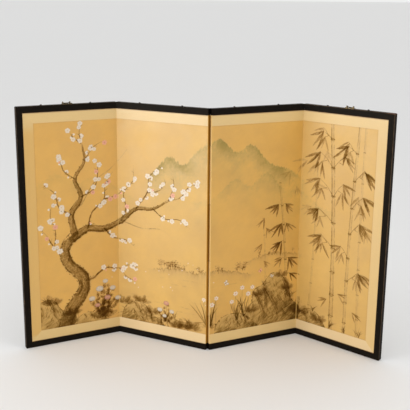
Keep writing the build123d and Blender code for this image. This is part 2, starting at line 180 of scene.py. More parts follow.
# ------------------------------------------------------------------ node helpers
class Nodes:
    """Short hand for building a material's node tree."""

    def __init__(self, name):
        self.mat = bpy.data.materials.new(name)
        self.mat.use_nodes = True
        self.nt = self.mat.node_tree
        self.nt.nodes.clear()
        self.out = self.nt.nodes.new("ShaderNodeOutputMaterial")
        self.bsdf = self.nt.nodes.new("ShaderNodeBsdfPrincipled")
        self.nt.links.new(self.bsdf.outputs[0], self.out.inputs["Surface"])

    def put(self, socket, value):
        if value is None:
            return
        if isinstance(value, bpy.types.NodeSocket):
            self.nt.links.new(value, socket)
        else:
            socket.default_value = value

    def node(self, kind, ins=(), **props):
        n = self.nt.nodes.new("ShaderNode" + kind)
        for k, v in props.items():
            setattr(n, k, v)
        for key, value in dict(ins).items() if isinstance(ins, dict) else enumerate(ins):
            self.put(n.inputs[key], value)
        return n

    def math(self, op, a, b=None, c=None, clamp=False):
        n = self.node("Math", operation=op, use_clamp=clamp)
        for k, v in enumerate((a, b, c)):
            self.put(n.inputs[k], v)
        return n.outputs[0]

    def vmath(self, op, a, b=None, out=0):
        n = self.node("VectorMath", operation=op)
        self.put(n.inputs[0], a)
        self.put(n.inputs[1], b)
        return n.outputs[out]

    def scale(self, v, k):
        n = self.node("VectorMath", operation="SCALE")
        self.put(n.inputs[0], v)
        self.put(n.inputs["Scale"], k)
        return n.outputs[0]

    def xyz(self, x, y, z):
        return self.node("CombineXYZ", (x, y, z)).outputs[0]

    def split(self, v):
        return self.node("SeparateXYZ", (v,)).outputs

    def noise(self, v, scale=1.0, detail=2.0, rough=0.5, distortion=0.0):
        return self.node("TexNoise", {"Vector": v, "Scale": scale, "Detail": detail, "Roughness": rough, "Distortion": distortion}).outputs["Fac"]

    def mapr(self, x, a, b, c=0.0, d=1.0, smooth=False):
        n = self.node("MapRange", interpolation_type="SMOOTHSTEP" if smooth else "LINEAR")
        for k, v in zip(("Value", "From Min", "From Max", "To Min", "To Max"), (x, a, b, c, d)):
            self.put(n.inputs[k], v)
        return n.outputs[0]

    def mix(self, fac, a, b, blend="MIX"):
        n = self.node("Mix", data_type="RGBA", blend_type=blend)
        self.put(n.inputs[0], fac)
        self.put(n.inputs[6], a)
        self.put(n.inputs[7], b)
        return n.outputs[2]

    def ramp(self, fac, stops):
        n = self.node("ValToRGB", (fac,))
        r = n.color_ramp
        while len(r.elements) < len(stops):
            r.elements.new(0.5)
        for e, (pos, col) in zip(r.elements, stops):
            e.position = pos
            e.color = col
        return n.outputs[0]

    def bump(self, height, distance, strength=1.0, normal=None):
        n = self.node("Bump", {"Height": height})
        n.inputs["Strength"].default_value = strength
        n.inputs["Distance"].default_value = distance
        self.put(n.inputs["Normal"], normal)
        return n.outputs[0]

    def obj(self):
        """Object coordinates in mm (every piece's own frame is the shared one)."""
        return self.scale(self.node("TexCoord").outputs["Object"], 1000.0)

    def leaf(self, i):
        """(u, v, z) in mm on leaf i."""
        p = self.vmath("SUBTRACT", self.obj(), tuple(ORIGIN[i]))
        u = self.vmath("DOT_PRODUCT", p, tuple(along(i)), 1)
        v = self.vmath("DOT_PRODUCT", p, tuple(back(i)), 1)
        return self.xyz(u, v, self.split(p)[2])

    def shader(self, **values):
        for key, value in values.items():
            self.put(self.bsdf.inputs[key.replace("_", " ")], value)
        return self.mat


def srgb(r, g, b, a=1.0):
    """0-255 display values as linear colour."""
    f = lambda c: c / 12.92 if c <= 0.04045 else ((c + 0.055) / 1.055) ** 2.4
    return (f(r / 255), f(g / 255), f(b / 255), a)


def grey(x):
    return (x, x, x, 1.0)


def new_mesh(name, verts, faces, mat, body=None, smooth=True):
    me = bpy.data.meshes.new(name)
    me.from_pydata([tuple(p) for p in verts], [], [tuple(f) for f in faces])
    me.update()
    if smooth:
        me.polygons.foreach_set("use_smooth", np.ones(len(me.polygons), bool))
    me.materials.append(mat)
    ob = bpy.data.objects.new(name, me)
    bpy.context.scene.collection.objects.link(ob)
    if body:
        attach(ob, body)
    return ob


def paint_node(name, *mats):
    """Gives a carried-over CAD node its finish."""
    me = nodes[name].data
    me.materials.clear()
    for mt in mats:
        me.materials.append(mt)


# ---- floor: one plain pale plane, in patches so that the near ones stay exact
def make_floor():
    n = Nodes("floor")
    p = n.node("TexCoord").outputs["Object"]
    mottle = n.noise(n.scale(p, 1.3), 1.0, 3.0, 0.5)
    fine = n.noise(n.scale(p, 55.0), 1.0, 2.0, 0.5)
    tone = n.math("ADD", n.math("MULTIPLY", mottle, 0.05), n.math("MULTIPLY", fine, 0.03))
    col = n.mix(tone, (0.835, 0.83, 0.82, 1), (0.72, 0.71, 0.69, 1))
    mat = n.shader(Base_Color=col, Roughness=0.75, Specular_IOR_Level=0.15, Normal=n.bump(fine, 0.0004, 0.4))
    ring = [-400, -50, -12, -3, 0, 3, 12, 50, 400]
    verts = [(x, y, 0.0) for y in ring for x in ring]
    k = len(ring)
    faces = [(r * k + c, r * k + c + 1, (r + 1) * k + c + 1, (r + 1) * k + c) for r in range(k - 1) for c in range(k - 1)]
    floor = new_mesh("floor", verts, faces, mat, smooth=False)


make_floor()

# ------------------------------------------------------------------ looks in numbers
GROUND = (0.60, 0.325, 0.032, 1.0)
BORDER_COL = (0.70, 0.47, 0.16, 1.0)
BORDER_SIDE_COL = (0.67, 0.435, 0.13, 1.0)
BORDER_LEFT_COL = (0.655, 0.375, 0.065, 1.0)
BORDER_PALE_COL = (0.72, 0.51, 0.235, 1.0)
HINGE_COL, HINGE_DARK = (0.68, 0.43, 0.11, 1.0), (0.58, 0.35, 0.08, 1.0)
BACK_COL, BACK_DARK = srgb(146, 131, 101), srgb(126, 111, 84)
BACK_LAPS = [[318.0, 596.0], [306.0, 610.0], [322.0, 602.0], [311.0, 590.0]]  # where the back's three sheets lap, each leaf
SILK_ROUGH, SILK_SPEC, SILK_IOR = 0.50, 1.0, 1.6
CELL = 12.0  # the painting mesh's largest square, mm
SPLIT_AT = [0.042, 0.064, 0.096, 0.185]  # how much the paint may vary over a square before it halves
LAP = 1.4  # border over painting, mm
WEAR_AND_HIGHLIGHT = [(0.2, 2.4), (0.15, 1.5), (0.15, 1.5), (0.9, 3.6)]  # how far from an arris each leaf's lacquer is rubbed, mm; the wide reach on leaves 1 and 4 is also a painted highlight along their outer arrises


# ------------------------------------------------------------------ finishes
def painted_silk(i):
    """Painted silk on gold ground: the vertex colours are the painting; the weave, slubs and sheen come on top."""
    n = Nodes("painted_silk.leaf_%d" % (i + 1))
    L = n.leaf(i)
    u, v, z = n.split(L)
    paint = n.node("Attribute", attribute_name="paint").outputs["Color"]
    threads = n.noise(n.vmath("MULTIPLY", L, (0.035, 0.0, 0.9)), 1.0, 2.0, 0.55)  # weft slubs, along the leaf
    warp = n.noise(n.vmath("MULTIPLY", L, (0.9, 0.0, 0.03)), 1.0, 2.0, 0.5)
    weave = n.math("MULTIPLY", n.math("ABSOLUTE", n.math("SINE", n.math("MULTIPLY", z, 3.7))),
                   n.math("ABSOLUTE", n.math("SINE", n.math("MULTIPLY", u, 3.7))))
    cloud = n.noise(n.vmath("MULTIPLY", L, (0.013, 0.0, 0.016)), 1.0, 4.0, 0.55, 0.3)
    speck = n.noise(n.vmath("MULTIPLY", L, (0.42, 0.0, 0.42)), 1.0, 3.0, 0.6)
    tone = n.math("ADD", n.math("MULTIPLY", n.math("SUBTRACT", threads, 0.5), 0.10),
                  n.math("MULTIPLY", n.math("SUBTRACT", warp, 0.5), 0.05))
    tone = n.math("ADD", tone, n.math("MULTIPLY", n.math("SUBTRACT", cloud, 0.5), 0.10))
    tone = n.math("ADD", tone, n.math("MULTIPLY", n.math("SUBTRACT", speck, 0.5), 0.05))
    tone = n.math("ADD", tone, n.math("MULTIPLY", n.math("SUBTRACT", weave, 0.4), 0.05))
    gain = n.math("ADD", tone, 1.0)
    colour = n.scale(paint, gain)
    # bare silk has its lustre; ink that has soaked in is matt
    bare = n.mapr(n.vmath("DOT_PRODUCT", paint, (0.30, 0.60, 0.10), out=1), 0.05, 0.33, 0.0, 1.0)
    rough = n.mapr(cloud, 0.3, 0.7, SILK_ROUGH - 0.04, SILK_ROUGH + 0.05)
    rough = n.math("ADD", rough, n.math("MULTIPLY", n.math("SUBTRACT", 1.0, bare), 0.35))
    height = n.math("ADD", n.math("MULTIPLY", threads, 0.6), n.math("MULTIPLY", weave, 0.5))
    normal = n.bump(height, 0.00012, 0.5)
    n.bsdf.inputs["Specular IOR Level"].default_value = SILK_SPEC
    return n.shader(Base_Color=colour, Roughness=rough, Specular_IOR_Level=n.mapr(bare, 0.0, 1.0, 0.04 * SILK_SPEC, SILK_SPEC), IOR=SILK_IOR,
                    Sheen_Weight=0.05, Sheen_Roughness=0.5, Normal=normal)


def border_silk():
    """Plain ribbed silk; a strip's own UV map runs along it, so the rib turns with the strip."""
    n = Nodes("border_silk")
    uv = n.node("UVMap", uv_map="strip").outputs[0]
    s, t, _ = n.split(uv)  # mm along and across the strip
    side = n.node("Attribute", attribute_name="cut").outputs["Fac"]  # above 0 on the strips cut along the warp, which are darker: partly the silk's own tone, partly painted light standing in for the sheen that turns with the weave
    pale = n.node("Attribute", attribute_name="pale").outputs["Fac"]  # the strips given a paler silk
    slub = n.noise(n.xyz(n.math("MULTIPLY", s, 0.03), n.math("MULTIPLY", t, 0.8), side), 1.0, 3.0, 0.55)
    warp = n.noise(n.xyz(n.math("MULTIPLY", s, 0.8), n.math("MULTIPLY", t, 0.05), side), 1.0, 2.0, 0.5)
    rib = n.math("ABSOLUTE", n.math("SINE", n.math("MULTIPLY", t, 3.4)))
    tick = n.math("ABSOLUTE", n.math("SINE", n.math("MULTIPLY", s, 4.6)))
    weave = n.math("MULTIPLY", rib, tick)
    cloud = n.noise(n.scale(n.obj(), 0.012), 1.0, 3.0, 0.5)
    tone = n.math("ADD", n.math("MULTIPLY", n.math("SUBTRACT", slub, 0.5), 0.12),
                  n.math("MULTIPLY", n.math("SUBTRACT", warp, 0.5), 0.07))
    tone = n.math("ADD", tone, n.math("MULTIPLY", n.math("SUBTRACT", cloud, 0.5), 0.08))
    tone = n.math("ADD", tone, n.math("MULTIPLY", n.math("SUBTRACT", weave, 0.4), 0.07))
    base = n.mix(n.mapr(side, 0.0, 0.5), BORDER_COL, BORDER_SIDE_COL)
    base = n.mix(n.mapr(side, 0.5, 1.0), base, BORDER_LEFT_COL)
    base = n.mix(pale, base, BORDER_PALE_COL)
    colour = n.scale(base, n.math("ADD", tone, 1.0))
    # painted shade along the frame, where the rails stand proud of the silk: most of it under the top rail, a little
    # above the bottom rail
    z = n.split(n.obj())[2]
    wander = n.math("MULTIPLY", n.math("SUBTRACT", cloud, 0.5), 3.0)
    top_rail_shade = n.mapr(n.math("ADD", z, wander), HEIGHT - RAIL_W - 4.2, HEIGHT - RAIL_W - 1.0, 0.0, 0.62, smooth=True)
    low = n.mapr(n.math("ADD", z, wander), RAIL_W + 0.8, RAIL_W + 3.0, 0.30, 0.0, smooth=True)
    colour = n.mix(n.math("ADD", top_rail_shade, low), colour, (0.25, 0.115, 0.02, 1))
    height = n.math("ADD", n.math("MULTIPLY", slub, 0.6), n.math("MULTIPLY", weave, 0.7))
    return n.shader(Base_Color=colour, Roughness=n.mapr(cloud, 0.3, 0.7, SILK_ROUGH - 0.05, SILK_ROUGH + 0.04),
                    Specular_IOR_Level=SILK_SPEC, IOR=SILK_IOR, Sheen_Weight=0.08, Sheen_Roughness=0.5,
                    Normal=n.bump(height, 0.00015, 0.5))


def lacquer(i, stile):
    """Black lacquer over wood, rubbed through to brown along the arrises; where the brown reaches wide, on leaves 1 and
    4, it is also a painted highlight on the arris.
    """
    n = Nodes("black_lacquer.leaf_%d%s" % (i + 1, "_stile" if stile else ""))
    L = n.leaf(i)
    u, v, z = n.split(L)
    w = LEAF_W[i]
    dv = n.math("MINIMUM", v, n.math("SUBTRACT", DEPTH, v))
    if stile:
        e0, e1 = (0.0, STILE_W) if i == 0 else (w - STILE_W, w)
        dw = n.math("MINIMUM", n.math("SUBTRACT", u, e0), n.math("SUBTRACT", e1, u))
        run, cross = z, u
    else:
        low = n.math("MINIMUM", z, n.math("SUBTRACT", RAIL_W, z))
        high = n.math("MINIMUM", n.math("SUBTRACT", z, HEIGHT - RAIL_W), n.math("SUBTRACT", HEIGHT, z))
        dw = n.math("MAXIMUM", low, high)
        run, cross = u, z
    edge = n.math("MAXIMUM", dv, dw)  # small only at an arris
    if stile:
        inner = n.math("SUBTRACT", STILE_W, u) if i == 0 else n.math("SUBTRACT", u, w - STILE_W)
    else:
        inner = n.math("MINIMUM", n.math("ABSOLUTE", n.math("SUBTRACT", z, RAIL_W)), n.math("ABSOLUTE", n.math("SUBTRACT", z, HEIGHT - RAIL_W)))
    patchy = n.noise(n.xyz(n.math("MULTIPLY", run, 0.045), n.math("MULTIPLY", cross, 0.16), n.math("MULTIPLY", v, 0.16)), 1.0, 4.0, 0.6)
    fine = n.noise(n.scale(L, 0.7), 1.0, 3.0, 0.6)
    # the brown along the arrises is wear, and where it reaches wide, on leaves 1 and 4, also a painted highlight
    reach = n.mapr(patchy, 0.34, 0.70, *WEAR_AND_HIGHLIGHT[i])
    rub = n.math("SUBTRACT", 1.0, n.mapr(n.math("ADD", edge, n.math("MULTIPLY", fine, 0.5)), 0.0, n.math("ADD", reach, 0.45), 0.0, 1.0, smooth=True))
    rub = n.math("MULTIPLY", rub, n.mapr(z, 90.0, 330.0, 0.45, 0.85) if stile and i == 3 else 0.9)
    grain = n.noise(n.xyz(n.math("MULTIPLY", run, 0.01), n.math("MULTIPLY", cross, 0.55), n.math("MULTIPLY", v, 0.55)), 1.0, 4.0, 0.6)
    body = n.mix(n.mapr(grain, 0.35, 0.7), (0.0058, 0.0048, 0.0038, 1), (0.0115, 0.0086, 0.0062, 1))
    body = n.mix(n.mapr(patchy, 0.5, 0.8, 0.0, 0.55), body, (0.019, 0.0125, 0.0075, 1))
    colour = n.mix(rub, body, (0.135, 0.085, 0.048, 1))
    # along the inner arris, where the bar meets the silk: rubbed lacquer, and a painted warm reflection of the gold
    # silk
    inner_rub_and_reflection = n.math("SUBTRACT", 1.0, n.mapr(n.math("ADD", n.math("ADD", inner, n.math("MAXIMUM", v, 0.0)), n.math("MULTIPLY", fine, 0.6)), 0.2, n.math("ADD", n.math("MULTIPLY", reach, 0.6), 0.8), 0.0, 1.0, smooth=True))
    colour = n.mix(n.math("MULTIPLY", inner_rub_and_reflection, 0.8), colour, (0.17, 0.078, 0.022, 1))
    if i == 3:  # the outer top corner is rubbed through to the red-brown ground coat
        spot = n.math("MULTIPLY", n.mapr(n.math("ADD", u, n.math("MULTIPLY", fine, 12.0)), w - 30.0, w - 17.0), n.mapr(n.math("ADD", z, n.math("MULTIPLY", patchy, 4.0)), HEIGHT - 2.6, HEIGHT - 0.6))
        colour = n.mix(n.math("MULTIPLY", spot, 0.26), colour, (0.19, 0.075, 0.035, 1))
    rough = n.math("ADD", n.mapr(fine, 0.3, 0.7, 0.34, 0.44), n.math("MULTIPLY", rub, 0.22))
    height = n.math("ADD", n.math("MULTIPLY", grain, 0.5), n.math("MULTIPLY", n.noise(n.scale(L, 0.09), 1.0, 2.0), 1.0))
    return n.shader(Base_Color=colour, Roughness=rough, Specular_IOR_Level=0.04, Specular_Tint=(1.0, 0.90, 0.76, 1),
                    Normal=n.bump(height, 0.0003, 0.25))


def washi(name, light, dark, fibre, scale=1.0, rough=0.85):
    """Handmade paper: clouded pulp with long pale fibres."""
    n = Nodes(name)
    p = n.obj()
    pulp = n.noise(n.scale(p, 0.05 * scale), 1.0, 5.0, 0.62)
    fine = n.noise(n.scale(p, 0.9 * scale), 1.0, 3.0, 0.6)
    hair = n.node("TexVoronoi", {"Vector": n.vmath("MULTIPLY", n.vmath("ADD", p, n.scale(n.node("TexNoise", {"Vector": n.scale(p, 0.05), "Scale": 1.0}).outputs["Color"], 40.0)), (0.11, 0.11, 0.26)), "Scale": 1.0},
                  feature="DISTANCE_TO_EDGE").outputs["Distance"]
    strand = n.math("SUBTRACT", 1.0, n.mapr(hair, 0.0, 0.012, 0.0, 1.0, smooth=True))
    strand = n.math("MULTIPLY", strand, n.mapr(pulp, 0.42, 0.62))
    colour = n.mix(n.mapr(pulp, 0.3, 0.7), light, dark)
    colour = n.mix(n.mapr(fine, 0.35, 0.75, 0.0, 0.35), colour, dark)
    colour = n.mix(n.math("MULTIPLY", strand, 0.28), colour, fibre)
    height = n.math("ADD", n.math("MULTIPLY", fine, 0.6), n.math("MULTIPLY", strand, 0.8))
    return n.shader(Base_Color=colour, Roughness=rough, Specular_IOR_Level=0.2, Sheen_Weight=0.04,
                    Normal=n.bump(height, 0.0002, 0.5))


def back_paper(i):
    """The backing of a leaf: three sheets of brown paper, brushed on across the leaf, a little different each."""
    n = Nodes("back_paper.leaf_%d" % (i + 1))
    L = n.leaf(i)
    u, v, z = n.split(L)
    L2 = n.vmath("ADD", L, (131.0 * i, 0.0, 57.0 * i))
    broad = n.noise(n.scale(L2, 0.007), 1.0, 3.0, 0.5)
    pulp = n.noise(n.scale(L2, 0.16), 1.0, 4.0, 0.62)
    brush = n.noise(n.vmath("MULTIPLY", L2, (0.010, 0.0, 0.20)), 1.0, 3.0, 0.6)
    fine = n.noise(n.scale(L2, 0.9), 1.0, 3.0, 0.6)
    warp = n.scale(n.node("TexNoise", {"Vector": n.scale(L2, 0.05), "Scale": 1.0}).outputs["Color"], 40.0)
    hair = n.node("TexVoronoi", {"Vector": n.vmath("MULTIPLY", n.vmath("ADD", L2, warp), (0.11, 0.11, 0.26)), "Scale": 1.0},
                  feature="DISTANCE_TO_EDGE").outputs["Distance"]
    strand = n.math("SUBTRACT", 1.0, n.mapr(hair, 0.0, 0.011, 0.0, 1.0, smooth=True))
    strand = n.math("MULTIPLY", strand, n.mapr(pulp, 0.45, 0.62))
    tone = n.math("MULTIPLY", n.math("SUBTRACT", broad, 0.5), 0.30)
    tone = n.math("ADD", tone, n.math("MULTIPLY", n.math("SUBTRACT", pulp, 0.5), 0.16))
    tone = n.math("ADD", tone, n.math("MULTIPLY", n.math("SUBTRACT", brush, 0.5), 0.08))
    tone = n.math("ADD", tone, n.math("MULTIPLY", n.math("SUBTRACT", fine, 0.5), 0.14))
    low, high = BACK_LAPS[i]
    rng = np.random.default_rng(70 + i)
    step = [float(s) for s in rng.uniform(-0.05, 0.05, 3)]
    second, third = n.math("GREATER_THAN", z, low - 8.0), n.math("GREATER_THAN", z, high - 8.0)
    tone = n.math("ADD", tone, step[0])
    tone = n.math("ADD", tone, n.math("MULTIPLY", second, step[1] - step[0] + 0.03))
    tone = n.math("ADD", tone, n.math("MULTIPLY", third, step[2] - step[1] - 0.04))
    colour = n.scale(n.mix(n.math("ADD", n.mapr(brush, 0.25, 0.75, 0.0, 0.6), n.mapr(pulp, 0.35, 0.7, 0.0, 0.4)), BACK_COL, BACK_DARK), n.math("ADD", tone, 1.0))
    for lap in (low, high):  # paste darkens the double layer, and dust lies along its edge
        inside = n.math("MULTIPLY", n.math("GREATER_THAN", z, lap - 8.0), n.math("LESS_THAN", z, lap))
        colour = n.mix(n.math("MULTIPLY", inside, 0.16), colour, (0.10, 0.075, 0.045, 1))
        line = n.math("SUBTRACT", 1.0, n.mapr(n.math("ABSOLUTE", n.math("SUBTRACT", z, lap - 8.4)), 0.1, 0.8))
        colour = n.mix(n.math("MULTIPLY", line, 0.45), colour, (0.06, 0.042, 0.024, 1))
    rim = n.math("MINIMUM", n.math("SUBTRACT", z, RAIL_W), n.math("SUBTRACT", HEIGHT - RAIL_W, z))
    if i in (0, 3):
        rim = n.math("MINIMUM", rim, n.math("SUBTRACT", u, STILE_W) if i == 0 else n.math("SUBTRACT", LEAF_W[3] - STILE_W, u))
    rim = n.math("SUBTRACT", 1.0, n.mapr(n.math("ADD", rim, n.math("MULTIPLY", pulp, 14.0)), 4.0, 22.0, 0.0, 1.0, smooth=True))
    colour = n.mix(n.math("MULTIPLY", rim, 0.42), colour, (0.085, 0.06, 0.035, 1))
    fox = n.mapr(n.noise(n.scale(L2, 0.055), 1.0, 5.0, 0.55), 0.70, 0.78, 0.0, 0.45)
    colour = n.mix(fox, colour, (0.13, 0.075, 0.03, 1))
    colour = n.mix(n.math("MULTIPLY", strand, 0.24), colour, srgb(196, 181, 150))
    height = n.math("ADD", n.math("MULTIPLY", fine, 0.6), n.math("ADD", n.math("MULTIPLY", strand, 0.8), n.math("MULTIPLY", brush, 0.6)))
    return n.shader(Base_Color=colour, Roughness=n.mapr(fine, 0.3, 0.7, 0.80, 0.90), Specular_IOR_Level=0.2, Sheen_Weight=0.04,
                    Normal=n.bump(height, 0.0002, 0.5))


def hinge_side(name, i, outer, inner, dim, spec=0.3):
    """The paper and silk wrapped over a leaf's folding edge: light near the front, darker towards the back, a painted
    shade that deepens into the fold.
    Strips that came from the front and from the back differ in how far back that painted shade reaches, and are cut
    apart by a dark line."""
    n = Nodes(name)
    p = n.obj()
    u, v, z = n.split(n.leaf(i))
    even = None
    for low, high in (STRIP_Z[1], STRIP_Z[3]):
        b = n.math("MULTIPLY", n.math("GREATER_THAN", z, low), n.math("LESS_THAN", z, high))
        even = b if even is None else n.math("ADD", even, b)
    pulp = n.noise(n.scale(p, 0.06), 1.0, 4.0, 0.6)
    fine = n.noise(n.scale(p, 0.9), 1.0, 3.0, 0.6)
    crease = n.noise(n.vmath("MULTIPLY", p, (0.9, 0.9, 0.02)), 1.0, 3.0, 0.6)
    ragged = n.math("ADD", v, n.math("MULTIPLY", n.math("SUBTRACT", crease, 0.5), 5.0))
    # painted shade: from outer at the front to inner at the back of the fold
    colour = n.mix(n.mapr(ragged, 1.5, 14.5), outer, inner)
    # more painted shade deep in the fold on the first, third and fifth strips
    colour = n.mix(n.math("MULTIPLY", n.math("SUBTRACT", 1.0, even), n.mapr(ragged, 6.0, 12.0, 0.12, 0.85)), colour, dim)
    colour = n.mix(n.mapr(pulp, 0.4, 0.75, 0.0, 0.3), colour, dim)
    colour = n.mix(n.mapr(crease, 0.60, 0.75, 0.0, 0.5), colour, dim)
    colour = n.mix(n.mapr(fine, 0.5, 0.8, 0.0, 0.25), colour, dim)
    joint = None  # a dark cut where one strip ends and the next begins
    for low, _ in STRIP_Z[:4]:
        d = n.math("ABSOLUTE", n.math("SUBTRACT", z, low))
        d = n.math("SUBTRACT", 1.0, n.mapr(n.math("ADD", d, n.math("MULTIPLY", n.math("SUBTRACT", fine, 0.5), 0.8)), 0.2, 0.8))
        joint = d if joint is None else n.math("MAXIMUM", joint, d)
    colour = n.mix(n.math("MULTIPLY", joint, 0.75), colour, (0.12, 0.06, 0.02, 1))
    height = n.math("ADD", n.math("MULTIPLY", fine, 0.6), n.math("MULTIPLY", crease, 0.9))
    return n.shader(Base_Color=colour, Roughness=n.mapr(fine, 0.3, 0.7, 0.62, 0.8), Specular_IOR_Level=spec,
                    Normal=n.bump(height, 0.0003, 0.5))


def bridge_silk():
    """Silk-faced strips that cross a fold on the painted side: border tone above and below, ground tone between."""
    n = Nodes("hinge_silk")
    p = n.obj()
    z = n.split(p)[2]
    middle = n.math("MULTIPLY", n.math("GREATER_THAN", z, Z_LOW), n.math("LESS_THAN", z, Z_HIGH))
    slub = n.noise(n.vmath("MULTIPLY", p, (0.5, 0.5, 0.05)), 1.0, 3.0, 0.6)
    weave = n.math("ABSOLUTE", n.math("SINE", n.math("MULTIPLY", z, 3.7)))
    tone = n.math("ADD", n.math("MULTIPLY", n.math("SUBTRACT", slub, 0.5), 0.14), n.math("MULTIPLY", n.math("SUBTRACT", weave, 0.5), 0.06))
    colour = n.scale(n.mix(middle, BORDER_COL, GROUND), n.math("ADD", tone, 1.04))
    return n.shader(Base_Color=colour, Roughness=n.mapr(slub, 0.3, 0.7, SILK_ROUGH, SILK_ROUGH + 0.08), Specular_IOR_Level=SILK_SPEC, IOR=SILK_IOR,
                    Normal=n.bump(n.math("ADD", slub, weave), 0.00012, 0.5))


def wood(name, light, dark, rough=0.7):
    n = Nodes(name)
    p = n.obj()
    rings = n.noise(n.vmath("MULTIPLY", p, (0.15, 0.15, 0.012)), 1.0, 4.0, 0.6, 0.6)
    line = n.math("ABSOLUTE", n.math("SINE", n.math("MULTIPLY", rings, 42.0)))
    pore = n.noise(n.vmath("MULTIPLY", p, (1.6, 1.6, 0.05)), 1.0, 3.0, 0.6)
    colour = n.mix(n.math("MULTIPLY", line, 0.5), light, dark)
    colour = n.mix(n.mapr(pore, 0.5, 0.75, 0.0, 0.5), colour, dark)
    return n.shader(Base_Color=colour, Roughness=n.mapr(pore, 0.3, 0.7, rough - 0.08, rough + 0.08),
                    Specular_IOR_Level=0.3, Normal=n.bump(pore, 0.0002, 0.5))


def metal(name, base, dull, rough, polish_and_highlight, metallic=1.0):
    """Old metal: tarnish clouds, pitting, brighter on the high spots: polish, and on the brass also a painted
    highlight.
    """
    n = Nodes(name)
    p = n.obj()
    cloud = n.noise(n.scale(p, 0.25), 1.0, 4.0, 0.6)
    pit = n.noise(n.scale(p, 1.9), 1.0, 4.0, 0.65)
    high = n.mapr(n.noise(n.scale(p, 0.6), 1.0, 2.0), 0.55, 0.75)
    colour = n.mix(n.mapr(cloud, 0.35, 0.65), base, dull)
    colour = n.mix(n.mapr(pit, 0.52, 0.7, 0.0, 0.6), colour, dull)
    # polish on the high spots; on the brass the cream colour is also a painted highlight
    colour = n.mix(n.math("MULTIPLY", high, 0.7), colour, polish_and_highlight)
    r = n.math("ADD", n.mapr(pit, 0.3, 0.7, rough - 0.06, rough + 0.10), n.math("MULTIPLY", cloud, 0.08))
    return n.shader(Base_Color=colour, Metallic=metallic, Roughness=r, Normal=n.bump(pit, 0.00015, 0.5))


# ------------------------------------------------------------------ the painting as a mesh
def paint_grid(i, canvas):
    """Vertices, faces and colours of leaf i's painting: squares that halve wherever the paint changes."""
    a, b = window_span(i)
    left = sum(window_span(k)[1] - window_span(k)[0] for k in range(i))
    deep = 4
    nx, nz = int(round((b - a) / CELL)), int(round((Z_HIGH - Z_LOW) / CELL))
    fx, fz = nx << deep, nz << deep
    gx = left + (b - a) * np.arange(fx + 1) / fx
    gz = (Z_HIGH - Z_LOW) * np.arange(fz + 1) / fz
    fine = canvas.sample(gx, gz)  # (fz+1, fx+1, 3), linear
    tone = np.sqrt(np.clip(fine, 0, 1)) @ np.array([0.4, 0.4, 0.2])
    sub = []
    for lev in range(deep):
        step = 1 << (deep - lev)
        rows, cols = nz << lev, nx << lev
        hi = np.full((rows, cols), -1e9)
        lo = np.full((rows, cols), 1e9)
        stride = max(1, step // 8)
        for dz in range(0, step + 1, stride):
            for dx in range(0, step + 1, stride):
                block = tone[dz:dz + rows * step:step, dx:dx + cols * step:step][:rows, :cols]
                hi = np.maximum(hi, block)
                lo = np.minimum(lo, block)
        sub.append((hi - lo) > SPLIT_AT[lev])
    for lev in range(deep - 1, 0, -1):  # neighbours differ by one halving at most
        s = sub[lev]
        grown = s.copy()
        grown[1:] |= s[:-1]
        grown[:-1] |= s[1:]
        g2 = grown.copy()
        g2[:, 1:] |= grown[:, :-1]
        g2[:, :-1] |= grown[:, 1:]
        sub[lev - 1] |= g2.reshape(nz << (lev - 1), 2, nx << (lev - 1), 2).any(axis=(1, 3))
    exists = [np.ones((nz, nx), bool)]
    for lev in range(deep):
        sub[lev] &= exists[lev]
        exists.append(sub[lev].repeat(2, 0).repeat(2, 1))
    W = fx + 1
    quads, tris = [], []
    for lev in range(deep + 1):
        keep = exists[lev] & ~sub[lev] if lev < deep else exists[lev]
        r, c = np.nonzero(keep)
        step = 1 << (deep - lev)
        v0 = (r * step) * W + c * step
        c00, c10, c11, c01 = v0, v0 + step, v0 + step * W + step, v0 + step * W
        if lev == deep:
            quads.append(np.stack([c00, c10, c11, c01], 1))
            continue
        pad = np.zeros((sub[lev].shape[0] + 2, sub[lev].shape[1] + 2), bool)
        pad[1:-1, 1:-1] = sub[lev]
        below, above = pad[r, c + 1], pad[r + 2, c + 1]
        lft, rgt = pad[r + 1, c], pad[r + 1, c + 2]
        plain = ~(below | above | lft | rgt)
        quads.append(np.stack([c00, c10, c11, c01], 1)[plain])
        h = step // 2
        mid = v0 + h * W + h
        for flag, p, q, half in ((below, c00, c10, v0 + h), (rgt, c10, c11, v0 + step + h * W),
                                 (above, c11, c01, v0 + step * W + h), (lft, c01, c00, v0 + h * W)):
            one = ~plain & ~flag
            two = ~plain & flag
            tris.append(np.stack([p, q, mid], 1)[one])
            tris.append(np.stack([p, half, mid], 1)[two])
            tris.append(np.stack([half, q, mid], 1)[two])
    quads, tris = np.concatenate(quads), np.concatenate(tris)
    used = np.unique(np.concatenate([quads.ravel(), tris.ravel()]))
    index = np.full(W * (fz + 1), -1)
    index[used] = np.arange(len(used))
    vz, vx = used // W, used % W
    return a + (b - a) * vx / fx, Z_LOW + gz[vz], fine[vz, vx], index[quads], index[tris], (vx, vz, fx, fz)


